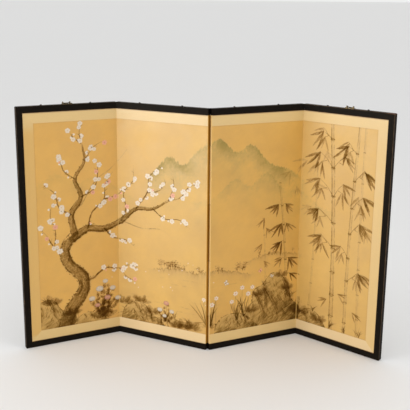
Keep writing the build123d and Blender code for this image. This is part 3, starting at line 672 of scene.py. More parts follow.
def make_painting(i, canvas, mat):
    u, z, col, quads, tris, (vx, vz, fx, fz) = paint_grid(i, canvas)
    v = np.full(len(u), V_SILK)
    # the edges turn back to the paper under the silk
    skirt = []
    su, sz, scol, base = [], [], [], len(u)
    for sel, order in ((vz == 0, vx), (vx == fx, vz), (vz == fz, -vx), (vx == 0, -vz)):
        ids = np.nonzero(sel)[0]
        ids = ids[np.argsort(order[ids])]
        lower = base + np.arange(len(ids))
        base += len(ids)
        su.append(u[ids]), sz.append(z[ids]), scol.append(col[ids])
        skirt.append(np.stack([ids[1:], ids[:-1], lower[:-1], lower[1:]], 1))
    skirt = np.concatenate(skirt)
    n_front = len(u)
    uu, zz = np.concatenate([u] + su), np.concatenate([z] + sz)
    vv = np.concatenate([v, np.full(base - n_front, V_UNDER - 0.02)])
    cc = np.concatenate([col] + scol)
    co = at(i, uu, vv, zz)
    me = bpy.data.meshes.new("leaf_%d_painting" % (i + 1))
    loops = np.concatenate([quads.ravel(), tris.ravel(), skirt.ravel()])
    sizes = np.concatenate([np.full(len(quads), 4), np.full(len(tris), 3), np.full(len(skirt), 4)])
    me.vertices.add(len(co))
    me.vertices.foreach_set("co", co.ravel())
    me.loops.add(len(loops))
    me.loops.foreach_set("vertex_index", loops.astype(np.int32))
    me.polygons.add(len(sizes))
    me.polygons.foreach_set("loop_start", (np.cumsum(sizes) - sizes).astype(np.int32))
    me.polygons.foreach_set("loop_total", sizes.astype(np.int32))
    me.polygons.foreach_set("use_smooth", np.zeros(len(sizes), bool))
    me.update(calc_edges=True)
    attr = me.color_attributes.new("paint", "FLOAT_COLOR", "POINT")
    attr.data.foreach_set("color", np.concatenate([cc, np.ones((len(cc), 1))], 1).astype(np.float32).ravel())
    layer = me.uv_layers.new(name="OFBake")
    a, b = window_span(i)
    fu = 0.01 + 0.98 * (uu - a) / (b - a)
    fv = 0.01 + 0.98 * (zz - Z_LOW) / (Z_HIGH - Z_LOW)
    uvs = np.stack([fu, fv], 1)
    ring = np.arange(len(uu)) >= n_front
    uvs[ring] = 0.5 + (uvs[ring] - 0.5) * (0.497 / 0.49)
    layer.data.foreach_set("uv", uvs[loops].astype(np.float32).ravel())
    me.materials.append(mat)
    me.validate()
    ob = bpy.data.objects.new(me.name, me)
    bpy.context.scene.collection.objects.link(ob)
    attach(ob, "leaf_%d" % (i + 1))
    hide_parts("leaf_%d_painted_silk" % (i + 1))
    print("painting", i + 1, "vertices", len(co), "faces", len(sizes), "triangles", len(quads) * 2 + len(tris) + 2 * len(skirt))
    return ob


# ------------------------------------------------------------------ border strips
def border_strip(i, name, outer, inner, mat, side):
    """One strip: outer and inner are its long edges as ((u, z), (u, z)). The inner edge laps over the painting."""
    (ou0, oz0), (ou1, oz1) = outer
    (iu0, iz0), (iu1, iz1) = inner
    # across the strip: (fraction from the outer edge, depth v). It lies on the paper, and laps the painting by LAP.
    width = math.hypot(iu0 - ou0, iz0 - oz0) if not side else abs(iu0 - ou0)
    width = abs(iz0 - oz0) if not side else abs(iu0 - ou0)
    lap = LAP / width
    top = V_SILK - 0.30
    profile = [(0.0, V_UNDER - 0.03), (0.0, top + 0.12), (0.15 / width, top + 0.03), (0.6 / width, top)]
    profile += [(f, top) for f in np.linspace(0.12, 0.88, 7)]
    profile += [(1 + lap - 1.1 / width, top), (1 + lap - 0.45 / width, top - 0.05), (1 + lap - 0.12 / width, top + 0.06), (1 + lap, V_SILK - 0.02)]
    rows = 140
    verts, uvs = [], []
    rng = np.random.default_rng(40 + 7 * i + len(name))
    wander = np.convolve(rng.normal(0, 1, rows + 60), np.hanning(21) / np.hanning(21).sum(), "same")[30:30 + rows]
    for r in range(rows):
        f = r / (rows - 1)
        ends = min(1.0, 8 * f, 8 * (1 - f))
        a = np.array([ou0 + (ou1 - ou0) * f, oz0 + (oz1 - oz0) * f])
        b = np.array([iu0 + (iu1 - iu0) * f, iz0 + (iz1 - iz0) * f])
        for g, v in profile:
            p = a + (b - a) * g
            if g > 1:
                p += (b - a) / width * 0.10 * wander[r] * ends
            verts.append((p[0], v, p[1]))
            along_s = p[0] if not side else p[1]
            across = (p[1] if not side else p[0])
            uvs.append((along_s, across))
    k = len(profile)
    faces = [(r * k + c, r * k + c + 1, (r + 1) * k + c + 1, (r + 1) * k + c) for r in range(rows - 1) for c in range(k - 1)]
    V = np.array(verts)
    # close the two ends with a turned-in edge
    end0 = [(V[c, 0], V_UNDER - 0.03, V[c, 2]) for c in range(k)]
    end1 = [(V[(rows - 1) * k + c, 0], V_UNDER - 0.03, V[(rows - 1) * k + c, 2]) for c in range(k)]
    base = len(verts)
    verts += end0 + end1
    uvs += uvs[:k] + uvs[(rows - 1) * k:(rows - 1) * k + k]
    faces += [(c + 1, c, base + c, base + c + 1) for c in range(1, k - 1)]
    q = (rows - 1) * k
    faces += [(q + c, q + c + 1, base + k + c + 1, base + k + c) for c in range(1, k - 1)]
    V = np.array(verts)
    co = at(i, V[:, 0], V[:, 1], V[:, 2])
    n = np.cross(co[faces[k * 3][1]] - co[faces[k * 3][0]], co[faces[k * 3][2]] - co[faces[k * 3][0]])
    if n @ back(i) > 0:
        faces = [f[::-1] for f in faces]
    ob = new_mesh(name, co, faces, mat, smooth=False)
    me = ob.data
    uv = me.uv_layers.new(name="strip")
    vi = np.zeros(len(me.loops), np.int32)
    me.loops.foreach_get("vertex_index", vi)
    uv.data.foreach_set("uv", np.array(uvs)[vi].astype(np.float32).ravel())
    cut = me.attributes.new("cut", "FLOAT", "POINT")
    # at its mitres a side strip has the tone of its neighbour: over a long stretch above, a short one below. The side
    # strips' darker tone, most on leaf 1, is partly painted light for the silk's sheen
    fade = np.clip(np.minimum((HEIGHT - RAIL_W - V[:, 2] - 10.0) / 75.0, (V[:, 2] - RAIL_W - 4.0) / 24.0), 0, 1)
    level = ((1.0 if i == 0 else 0.5) if side else 0.0) * fade * fade * (3 - 2 * fade)
    pale = me.attributes.new("pale", "FLOAT", "POINT")
    # the bottom strips of leaves 2 and 4, and the top strip of leaf 2 in part, are given the paler silk
    low_strip = name.endswith("bottom") and i in (1, 3)
    pale_level = 1.0 if low_strip else 0.4 if name.endswith("top") and i == 1 else 0.0
    pale.data.foreach_set("value", np.full(len(V), pale_level, np.float32))
    cut.data.foreach_set("value", level.astype(np.float32))
    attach(ob, "leaf_%d" % (i + 1))
    return ob


def make_borders(i, mat):
    f0, f1 = cover_span(i)
    p0, p1 = window_span(i)
    low, high = RAIL_W, HEIGHT - RAIL_W
    name = "leaf_%d_border_" % (i + 1)
    made = [
        border_strip(i, name + "top", ((f0, high), (f1, high)), ((p0, Z_HIGH), (p1, Z_HIGH)), mat, False),
        border_strip(i, name + "bottom", ((f0, low), (f1, low)), ((p0, Z_LOW), (p1, Z_LOW)), mat, False),
    ]
    if i in (0, 3):
        ou, iu = (f0, p0) if i == 0 else (f1, p1)
        made.append(border_strip(i, name + "side", ((ou, low), (ou, high)), ((iu, Z_LOW), (iu, Z_HIGH)), mat, True))
    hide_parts("leaf_%d_silk_border" % (i + 1))
    for ob in made[1:]:
        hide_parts("leaf_%d_silk_border" % (i + 1))


# ------------------------------------------------------------------ the back's sheets
def make_back(i, mat):
    """Three sheets from the bottom up; each laps over the one below it, so its lower edge stands proud."""
    name = "leaf_%d_back_paper" % (i + 1)
    f0, f1 = cover_span(i)
    low, high = RAIL_W, HEIGHT - RAIL_W
    cuts = [low] + BACK_LAPS[i] + [high]
    out, raised, lap = DEPTH - STEP, 0.22, 8.0
    cols = 40
    us = np.linspace(f0, f1, cols)
    rng = np.random.default_rng(60 + i)
    verts, faces = [], []
    for k in range(3):
        z0, z1 = cuts[k], cuts[k + 1]
        if k:
            rows = [(z0 - lap, out + 0.02), (z0 - lap, out + raised - 0.05), (z0 - lap + 0.4, out + raised), (z0 - 0.5, out + raised), (z0 + 2.5, out)]
        else:
            rows = [(z0, V_BACK), (z0, out - 0.05), (z0 + 0.2, out)]
        rows += [(z, out) for z in np.linspace(z0 + 12.0, z1 - 12.0, 12)]
        rows += [(z1, out)] if k < 2 else [(z1 - 0.2, out), (z1, out - 0.05), (z1, V_BACK)]
        ragged = np.convolve(rng.normal(0, 1, cols + 10), np.hanning(7) / np.hanning(7).sum(), "same")[5:5 + cols] * 0.35
        cockle = np.convolve(rng.normal(0, 1, cols + 20), np.hanning(13) / np.hanning(13).sum(), "same")[10:10 + cols] * 0.05
        base = len(verts)
        n_r = len(rows)
        for r, (z, v) in enumerate(rows):
            for c, u in enumerate(us):
                zz = z + (ragged[c] if k and r < 3 else 0.0)
                vv = v + (abs(cockle[c]) if v == out and 4 < r < n_r - 3 else 0.0)
                verts.append((u, vv, zz))
        for r in range(n_r - 1):
            for c in range(cols - 1):
                a = base + r * cols + c
                faces.append((a, a + cols, a + cols + 1, a + 1))
        for c in (0, cols - 1):  # the ends turn in to the paper underneath
            b2 = len(verts)
            for r in range(n_r):
                z, v = verts[base + r * cols + c][2], verts[base + r * cols + c][1]
                verts.append((us[c], min(V_BACK, v) if not k or r > 3 else out + 0.02, z))
            for r in range(n_r - 1):
                f = (base + r * cols + c, b2 + r, b2 + r + 1, base + (r + 1) * cols + c)
                faces.append(f if c == 0 else f[::-1])
    V = np.array(verts)
    co = at(i, V[:, 0], V[:, 1], V[:, 2])
    probe = faces[3 * (cols - 1)]
    if np.cross(co[probe[1]] - co[probe[0]], co[probe[2]] - co[probe[0]]) @ back(i) < 0:
        faces = [f[::-1] for f in faces]
    ob = new_mesh(name + "_sheets", co, faces, mat, smooth=False)
    ob.data.validate()
    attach(ob, "leaf_%d" % (i + 1))
    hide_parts(name)


# ------------------------------------------------------------------ hinge paper across the folds
def make_hinges(front_mat, rear_mat):
    """Where each strip passes from leaf to leaf it bends round the fold line, strip by strip."""
    for key, a, b, front in (("1_2", 0, 1, True), ("2_3", 1, 2, False), ("3_4", 2, 3, True)):
        P = FOLD[key]
        v = V_SILK if front else DEPTH - STEP
        pa = at(a, LEAF_W[a], v, 0)[:2] * 1000 - P[:2]
        pb = at(b, 0.0, v, 0)[:2] * 1000 - P[:2]
        r = float(np.hypot(*pa))
        a0, a1 = math.atan2(pa[1], pa[0]), math.atan2(pb[1], pb[0])
        # turn through the side of the fold where the leaves' bodies are
        inside = at(a, LEAF_W[a], DEPTH / 2, 0)[:2] * 1000 - P[:2]
        mid_dir = math.atan2(*(inside + (at(b, 0.0, DEPTH / 2, 0)[:2] * 1000 - P[:2]))[::-1])
        sweep = (a1 - a0 + math.pi) % (2 * math.pi) - math.pi
        if math.cos(a0 + sweep / 2 - mid_dir) < 0:
            sweep -= math.copysign(2 * math.pi, sweep)
        t = 0.22
        steps = 14
        for k, (low, high) in enumerate(STRIP_Z):
            low, high = low + 0.06, high - 0.06
            zs = np.linspace(low, high, 24)
            verts, faces = [], []
            rng = np.random.default_rng(90 + k + 10 * a)
            ragged = rng.normal(0, 0.03, (2, steps + 1))
            for s in range(steps + 1):
                ang = a0 + sweep * (s / steps * 1.06 - 0.03)
                for rr in (r, r + t):
                    for q, zz in enumerate(zs):
                        zz = zz + (ragged[0, s] if q == 0 else ragged[1, s] if q == len(zs) - 1 else 0)
                        verts.append((P[0] + rr * math.cos(ang), P[1] + rr * math.sin(ang), zz))
            nz = len(zs)
            idx = lambda s, side, q: (s * 2 + side) * nz + q
            for s in range(steps):
                for q in range(nz - 1):
                    faces.append((idx(s, 0, q), idx(s, 0, q + 1), idx(s + 1, 0, q + 1), idx(s + 1, 0, q)))
                    faces.append((idx(s, 1, q), idx(s + 1, 1, q), idx(s + 1, 1, q + 1), idx(s, 1, q + 1)))
                faces.append((idx(s, 0, 0), idx(s + 1, 0, 0), idx(s + 1, 1, 0), idx(s, 1, 0)))
                faces.append((idx(s, 0, nz - 1), idx(s, 1, nz - 1), idx(s + 1, 1, nz - 1), idx(s + 1, 0, nz - 1)))
            for s in (0, steps):
                for q in range(nz - 1):
                    f = (idx(s, 0, q), idx(s, 1, q), idx(s, 1, q + 1), idx(s, 0, q + 1))
                    faces.append(f if s == 0 else f[::-1])
            if sweep < 0:
                faces = [f[::-1] for f in faces]
            ob = new_mesh("hinge_strip_%s_%d" % (key, k + 1), np.array(verts) * 0.001, faces, front_mat if front else rear_mat)
            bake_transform(ob)


# ------------------------------------------------------------------ lacquered frame bars
def make_bar(i, node, outline, mitres, fold_us, mat):
    """A frame bar from its face outline (u, z): eased arrises, crisp where it meets the next leaf or its mitre."""
    bm = bmesh.new()
    front = [bm.verts.new((u, -PROUD, z)) for u, z in outline]
    rear = [bm.verts.new((u, DEPTH + PROUD, z)) for u, z in outline]
    n = len(outline)
    bm.faces.new(front)
    bm.faces.new(rear[::-1])
    for k in range(n):
        bm.faces.new((front[(k + 1) % n], front[k], rear[k], rear[(k + 1) % n]))
    bmesh.ops.recalc_face_normals(bm, faces=bm.faces)

    def is_fold(a, b):
        return any(abs(a.co.x - f) < 1e-3 and abs(b.co.x - f) < 1e-3 for f in fold_us)

    eased = []
    for k in range(n):
        q = (k + 1) % n
        if k in mitres or is_fold(front[k], front[q]):
            continue
        eased += [bm.edges.get((front[k], front[q])), bm.edges.get((rear[k], rear[q]))]
    for k in range(n):
        if is_fold(front[k], rear[k]):
            eased.append(bm.edges.get((front[k], rear[k])))
    bmesh.ops.bevel(bm, geom=eased, offset=0.9, offset_type="OFFSET", segments=4, profile=0.5, affect="EDGES", clamp_overlap=False)
    bmesh.ops.triangulate(bm, faces=[f for f in bm.faces if len(f.verts) > 4])
    bm.verts.ensure_lookup_table()
    co = np.array([v.co[:] for v in bm.verts])
    co = at(i, co[:, 0], co[:, 1], co[:, 2])
    for v, p in zip(bm.verts, co):
        v.co = p
    bmesh.ops.recalc_face_normals(bm, faces=bm.faces)
    me = bpy.data.meshes.new(node + "_bar")
    bm.to_mesh(me)
    bm.free()
    me.materials.append(mat)
    ob = bpy.data.objects.new(me.name, me)
    bpy.context.scene.collection.objects.link(ob)
    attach(ob, "leaf_%d" % (i + 1))
    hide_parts(node)


def corner_arc(top, start, end):
    """Points round the frame's outer corner of leaf 1, in degrees from the arc's own centre."""
    cz = HEIGHT - CORNER_R if top else CORNER_R
    pts = []
    for a in np.radians(np.linspace(start, end, 7)):
        pts.append((CORNER_R - CORNER_R * math.sin(a), cz + (CORNER_R * math.cos(a) if top else -CORNER_R * math.cos(a))))
    return pts


def make_frame(i, rail_mat, stile_mat):
    """The rails reach to the fold line, so that neighbours meet corner to corner."""
    w = LEAF_W[i]
    reach = PIVOT_SIDE - 0.003
    leaf = "leaf_%d_" % (i + 1)
    flip = (lambda p: (w - p[0], p[1])) if i == 3 else (lambda p: p)
    for top in (True, False):
        outer, inner = (HEIGHT, HEIGHT - RAIL_W) if top else (0.0, RAIL_W)
        if i in (1, 2):
            outline = [(-reach, outer), (w + reach, outer), (w + reach, inner), (-reach, inner)]
            make_bar(i, leaf + ("top" if top else "bottom") + "_rail", outline, [], [-reach, w + reach], rail_mat)
            continue
        arc = corner_arc(top, 0.0, 45.2)  # from the straight edge to the mitre
        outline = [(STILE_W, inner), (w + reach, inner), (w + reach, outer)] + arc
        mitre = len(outline) - 1  # the closing side, from the arc's end back to the inner corner
        outline = [flip(p) for p in outline]
        make_bar(i, leaf + ("top" if top else "bottom") + "_rail", outline, [mitre], [flip((w + reach, 0))[0]], rail_mat)
    if i in (0, 3):
        up, low = corner_arc(True, 45.2, 90.0), corner_arc(False, 45.2, 90.0)
        outline = [(STILE_W, RAIL_W), (STILE_W, HEIGHT - RAIL_W)] + up + low[::-1]
        outline = [flip(p) for p in outline]
        make_bar(i, leaf + "outer_stile", outline, [1, len(outline) - 1], [], stile_mat)


# ------------------------------------------------------------------ the painting
# An invented ink painting in the usual manner of such screens: an old plum tree in flower over a
# rock on the left, bamboo on the right, narcissus and grass along a bank, and faint hills. It runs on
# across the four leaves. Everything is worked out here from curves, brush widths and noise.
PX = 0.6  # mm per sample of the working canvas
CANVAS_W = sum(window_span(k)[1] - window_span(k)[0] for k in range(4))
CANVAS_H = Z_HIGH - Z_LOW
INK = np.array([0.86, 1.0, 1.36], np.float32)
PALE = np.array([0.92, 0.97, 1.15], np.float32)
MOSS = np.array([1.0, 0.62, 0.24], np.float32)
WARM = np.array([0.42, 0.72, 1.0], np.float32)
GOFUN = np.array([0.765, 0.645, 0.48], np.float32)
BLUSH = np.array([0.78, 0.33, 0.185], np.float32)


def band_noise(rng, shape, short, long, power=1.0):
    """Noise with wavelengths from short to long (in samples), zero mean, unit spread. It tiles."""
    f = np.hypot(np.fft.fftfreq(shape[0])[:, None], np.fft.rfftfreq(shape[1])[None, :])
    f[0, 0] = 1.0
    gain = np.where((f > 1.0 / long) & (f < 1.0 / short), f ** -power, 0.0)
    gain[0, 0] = 0.0
    spec = np.fft.rfft2(rng.standard_normal(shape)) * gain
    out = np.fft.irfft2(spec, shape)
    return (out / out.std()).astype(np.float32)


def curve(points, step=1.0):
    """Catmull-Rom through the points, evenly stepped in mm."""
    p = np.asarray(points, float)
    if len(p) == 2:
        n = max(2, int(np.hypot(*(p[1] - p[0])) / step) + 1)
        return p[0] + (p[1] - p[0]) * np.linspace(0, 1, n)[:, None]
    q = np.vstack([2 * p[0] - p[1], p, 2 * p[-1] - p[-2]])
    out = []
    for k in range(len(p) - 1):
        a, b, c, d = q[k:k + 4]
        n = max(2, int(np.hypot(*(c - b)) / step * 1.5))
        t = np.linspace(0, 1, n, endpoint=False)[:, None]
        out.append(0.5 * (2 * b + (c - a) * t + (2 * a - 5 * b + 4 * c - d) * t ** 2 + (3 * b - a - 3 * c + d) * t ** 3))
    out = np.vstack(out + [p[-1:]])
    s = np.concatenate([[0], np.cumsum(np.hypot(*np.diff(out, axis=0).T))])
    m = max(2, int(s[-1] / step) + 1)
    e = np.linspace(0, s[-1], m)
    return np.stack([np.interp(e, s, out[:, 0]), np.interp(e, s, out[:, 1])], 1)


def smooth(x, a, b):
    t = np.clip((x - a) / (b - a), 0, 1)
    return t * t * (3 - 2 * t)


class Canvas:
    def __init__(self):
        self.w, self.h = int(round(CANVAS_W / PX)), int(round(CANVAS_H / PX))
        self.rng = np.random.default_rng(20260)
        r = self.rng
        self.fine = band_noise(r, (1024, 1024), 2.0, 7.0, 0.6)
        self.mid = band_noise(r, (1024, 1024), 8.0, 40.0, 1.0)
        self.hair = band_noise(r, (512, 512), 2.5, 30.0, 0.9)
        big = band_noise(r, (self.h, self.w), 60.0, 700.0, 1.3)
        self.cloud = big
        y = (np.arange(self.h) + 0.5) * PX
        x = (np.arange(self.w) + 0.5) * PX
        self.X, self.Y = np.meshgrid(x.astype(np.float32), y.astype(np.float32))
        self.img = np.ones((self.h, self.w, 3), np.float32) * np.array(GROUND[:3], np.float32)

    # ---- plumbing
    def area(self, x0, y0, x1, y1):
        a, b = max(0, int(x0 / PX)), min(self.w, int(math.ceil(x1 / PX)) + 1)
        c, d = max(0, int(y0 / PX)), min(self.h, int(math.ceil(y1 / PX)) + 1)
        return (c, d, a, b) if a < b and c < d else None

    def tile(self, noise, c, d, a, b, dx=0, dy=0):
        n, m = noise.shape
        return noise[np.ix_(np.arange(c + dy, d + dy) % n, np.arange(a + dx, b + dx) % m)]

    def soak(self, box, dens, k=INK):
        c, d, a, b = box
        self.img[c:d, a:b] *= np.exp(-dens[..., None] * k)

    def cover(self, box, alpha, colour):
        c, d, a, b = box
        al = np.clip(alpha, 0, 1)[..., None]
        self.img[c:d, a:b] += (colour - self.img[c:d, a:b]) * al

    # ---- one brush stroke
    def trace(self, path, half):
        """Distance to the stroke's line over its half width, the side, and how far along, near the stroke."""
        pad = half.max() * 1.4 + 2.0
        box = self.area(path[:, 0].min() - pad, path[:, 1].min() - pad, path[:, 0].max() + pad, path[:, 1].max() + pad)
        if box is None:
            return None
        c, d, a, b = box
        q = np.full((d - c, b - a), 9.0, np.float32)
        side, run = np.zeros_like(q), np.zeros_like(q)
        s = np.concatenate([[0], np.cumsum(np.hypot(*np.diff(path, axis=0).T))])
        for j in range(len(path) - 1):
            p0, p1 = path[j], path[j + 1]
            h0, h1 = half[j], half[j + 1]
            g = max(h0, h1) * 1.35 + 1.3
            x0, x1 = min(p0[0], p1[0]) - g, max(p0[0], p1[0]) + g
            y0, y1 = min(p0[1], p1[1]) - g, max(p0[1], p1[1]) + g
            aa, bb = max(a, int(x0 / PX)), min(b, int(x1 / PX) + 2)
            cc, dd = max(c, int(y0 / PX)), min(d, int(y1 / PX) + 2)
            if aa >= bb or cc >= dd:
                continue
            X = self.X[cc:dd, aa:bb] - p0[0]
            Y = self.Y[cc:dd, aa:bb] - p0[1]
            v = p1 - p0
            L2 = float(v @ v) + 1e-9
            t = np.clip((X * v[0] + Y * v[1]) / L2, 0, 1)
            ex, ey = X - t * v[0], Y - t * v[1]
            h = h0 + (h1 - h0) * t + 1e-3
            dist = np.sqrt(ex * ex + ey * ey) / h
            Q = q[cc - c:dd - c, aa - a:bb - a]
            hit = dist < Q
            Q[hit] = dist[hit]
            sg = np.sign(v[0] * Y - v[1] * X)
            side[cc - c:dd - c, aa - a:bb - a][hit] = (dist * sg)[hit]
            run[cc - c:dd - c, aa - a:bb - a][hit] = (s[j] + t * math.sqrt(L2))[hit]
        return box, q, side, run, s[-1]

    def stroke(self, points, width, ink=1.5, k=INK, dry=0.0, rough=0.06, taper=(0.12, 0.25), soft=0.0,
               edge=0.0, colour=None, alpha=0.95, step=None, pool=0.0, press=0.0):
        """A brush stroke. width in mm, one number or several along it; dry lets the bristles show."""
        width = np.atleast_1d(np.asarray(width, float))
        path = curve(points, step or max(0.7, min(4.0, width.max() * 0.35)))
        n = len(path)
        t = np.linspace(0, 1, n)
        half = np.interp(t, np.linspace(0, 1, len(width)), width) / 2 if len(width) > 1 else np.full(n, width[0] / 2)
        if taper[0] > 0:
            half = half * np.clip((t + 0.012) / taper[0], 0, 1) ** 0.6
        if taper[1] > 0:
            half = half * np.clip((1 - t + 0.004) / taper[1], 0, 1) ** 0.75
        if press:
            half = half * (1 + press * np.interp(t, np.linspace(0, 1, 9), self.rng.normal(0, 1, 9)))
        half = np.maximum(half, 0.12)
        got = self.trace(path, half)
        if got is None:
            return
        box, q, side, run, length = got
        c, d, a, b = box
        hm = float(half.mean())
        ox, oy = self.rng.integers(0, 1024, 2)
        wob = self.tile(self.fine, c, d, a, b, ox, oy) * rough + self.tile(self.mid, c, d, a, b, oy, ox) * rough * 0.8
        aa = 0.55 * PX / max(hm, 0.3)
        e = max(aa, soft)
        cover = 1 - smooth(q + wob, 1 - e, 1 + e * 0.6)
        if dry > 0:
            m = self.hair.shape[0]
            bristle = self.hair[((side * hm * 1.3 / PX + ox).astype(int)) % m, ((run * 0.10 / PX + oy).astype(int)) % m]
            grain = self.tile(self.fine, c, d, a, b, oy, ox)
            along_t = run / max(length, 1e-6)
            gate = bristle * 0.8 + grain * 0.45 + 1.5 - dry * (1.2 + 1.9 * along_t) - 0.5 * np.abs(side)
            cover *= smooth(gate, -0.25, 0.45)
        if colour is not None:
            self.cover(box, cover * alpha, colour)
            return
        tone = 1 + 0.16 * self.tile(self.mid, c, d, a, b, ox, oy)
        if edge:
            tone = tone * (1 - edge * 0.55 + edge * 1.3 * np.clip(q, 0, 1) ** 3)
        if pool:
            at_end = np.clip(run / max(length, 1e-6), 0, 1)
            tone = tone * (1 + pool * (smooth(at_end, 0.75, 1.0) + 0.6 * smooth(1 - at_end, 0.85, 1.0)))
        self.soak(box, (cover * ink * tone).astype(np.float32), k)

    def dot(self, x, y, r, ink=1.6, k=INK, squash=1.0, turn=0.0, colour=None, alpha=0.95, rough=0.12, soft=0.0):
        box = self.area(x - r * 1.6 - 1, y - r * 1.6 - 1, x + r * 1.6 + 1, y + r * 1.6 + 1)
        if box is None:
            return
        c, d, a, b = box
        X, Y = self.X[c:d, a:b] - x, self.Y[c:d, a:b] - y
        ct, st = math.cos(turn), math.sin(turn)
        q = np.hypot(X * ct + Y * st, (-X * st + Y * ct) / squash) / r
        q = q + self.tile(self.mid, c, d, a, b, int(self.rng.integers(0, 1024)), 3) * rough
        e = max(0.6 * PX / r, soft)
        cover = 1 - smooth(q, 1 - e, 1 + e)
        if colour is not None:
            self.cover(box, cover * alpha, colour)
        else:
            self.soak(box, (cover * ink).astype(np.float32), k)

    # ---- sampled for the mesh: a small box filter, so fine strokes don't break up
    def sample(self, gx, gz):
        im = self.img
        fx = np.clip(gx / PX - 0.5, 0, self.w - 1.001)
        fz = np.clip(gz / PX - 0.5, 0, self.h - 1.001)
        blur = im.copy()
        blur[:, 1:-1] = im[:, 1:-1] * 0.5 + (im[:, 2:] + im[:, :-2]) * 0.25
        out = blur.copy()
        out[1:-1] = blur[1:-1] * 0.5 + (blur[2:] + blur[:-2]) * 0.25
        i, j = fx.astype(int), fz.astype(int)
        wx, wz = (fx - i)[None, :, None], (fz - j)[:, None, None]
        p = out[np.ix_(j, i)] * (1 - wx) + out[np.ix_(j, i + 1)] * wx
        q = out[np.ix_(j + 1, i)] * (1 - wx) + out[np.ix_(j + 1, i + 1)] * wx
        return np.clip(p * (1 - wz) + q * wz, 0, 1).astype(float)


# ---- the motifs
def paint_ground(cv):
    full = (0, cv.h, 0, cv.w)
    tone = 0.030 * cv.cloud + 0.012 * cv.tile(cv.mid, 0, cv.h, 0, cv.w)
    cv.soak(full, tone.astype(np.float32), np.array([0.7, 0.9, 1.5], np.float32))
    low = smooth(-cv.Y + 26 * cv.cloud, -190, 30) * 0.09  # the bank's warm shade along the bottom
    cv.soak(full, low.astype(np.float32), np.array([0.9, 1.15, 1.9], np.float32))


def paint_hill(cv, x0, x1, ridge, fade, dens, k=MOSS, rim=0.0):
    """A wash that is crisp along its ridge and melts away below it. ridge: (x, y) points."""
    pts = curve(ridge, 2.0)
    order = np.argsort(pts[:, 0])
    y = np.interp(cv.X[0], pts[order, 0], pts[order, 1]).astype(np.float32)
    y = y + 2.2 * cv.mid[7, np.arange(cv.w) % 1024] + 0.8 * cv.fine[9, np.arange(cv.w) % 1024]
    below = y[None, :] - cv.Y
    ends = smooth(cv.X[0], x0, x0 + 70) * (1 - smooth(cv.X[0], x1 - 70, x1))
    d = smooth(below, -1.0, 1.6) * np.exp(-np.clip(below, 0, None) / fade) * ends[None, :]
    streak = 1 + 0.30 * cv.cloud + 0.18 * cv.tile(cv.mid, 0, cv.h, 0, cv.w, 311, 77)
    d = d * np.clip(streak, 0.2, 1.9) * dens
    if rim:
        d += rim * smooth(below, -0.6, 0.5) * (1 - smooth(below, 1.0, 6.0)) * ends[None, :] * np.clip(0.6 + 0.5 * cv.tile(cv.mid, 0, cv.h, 0, cv.w, 60, 500), 0, 1.5)
    cv.soak((0, cv.h, 0, cv.w), d.astype(np.float32), k)


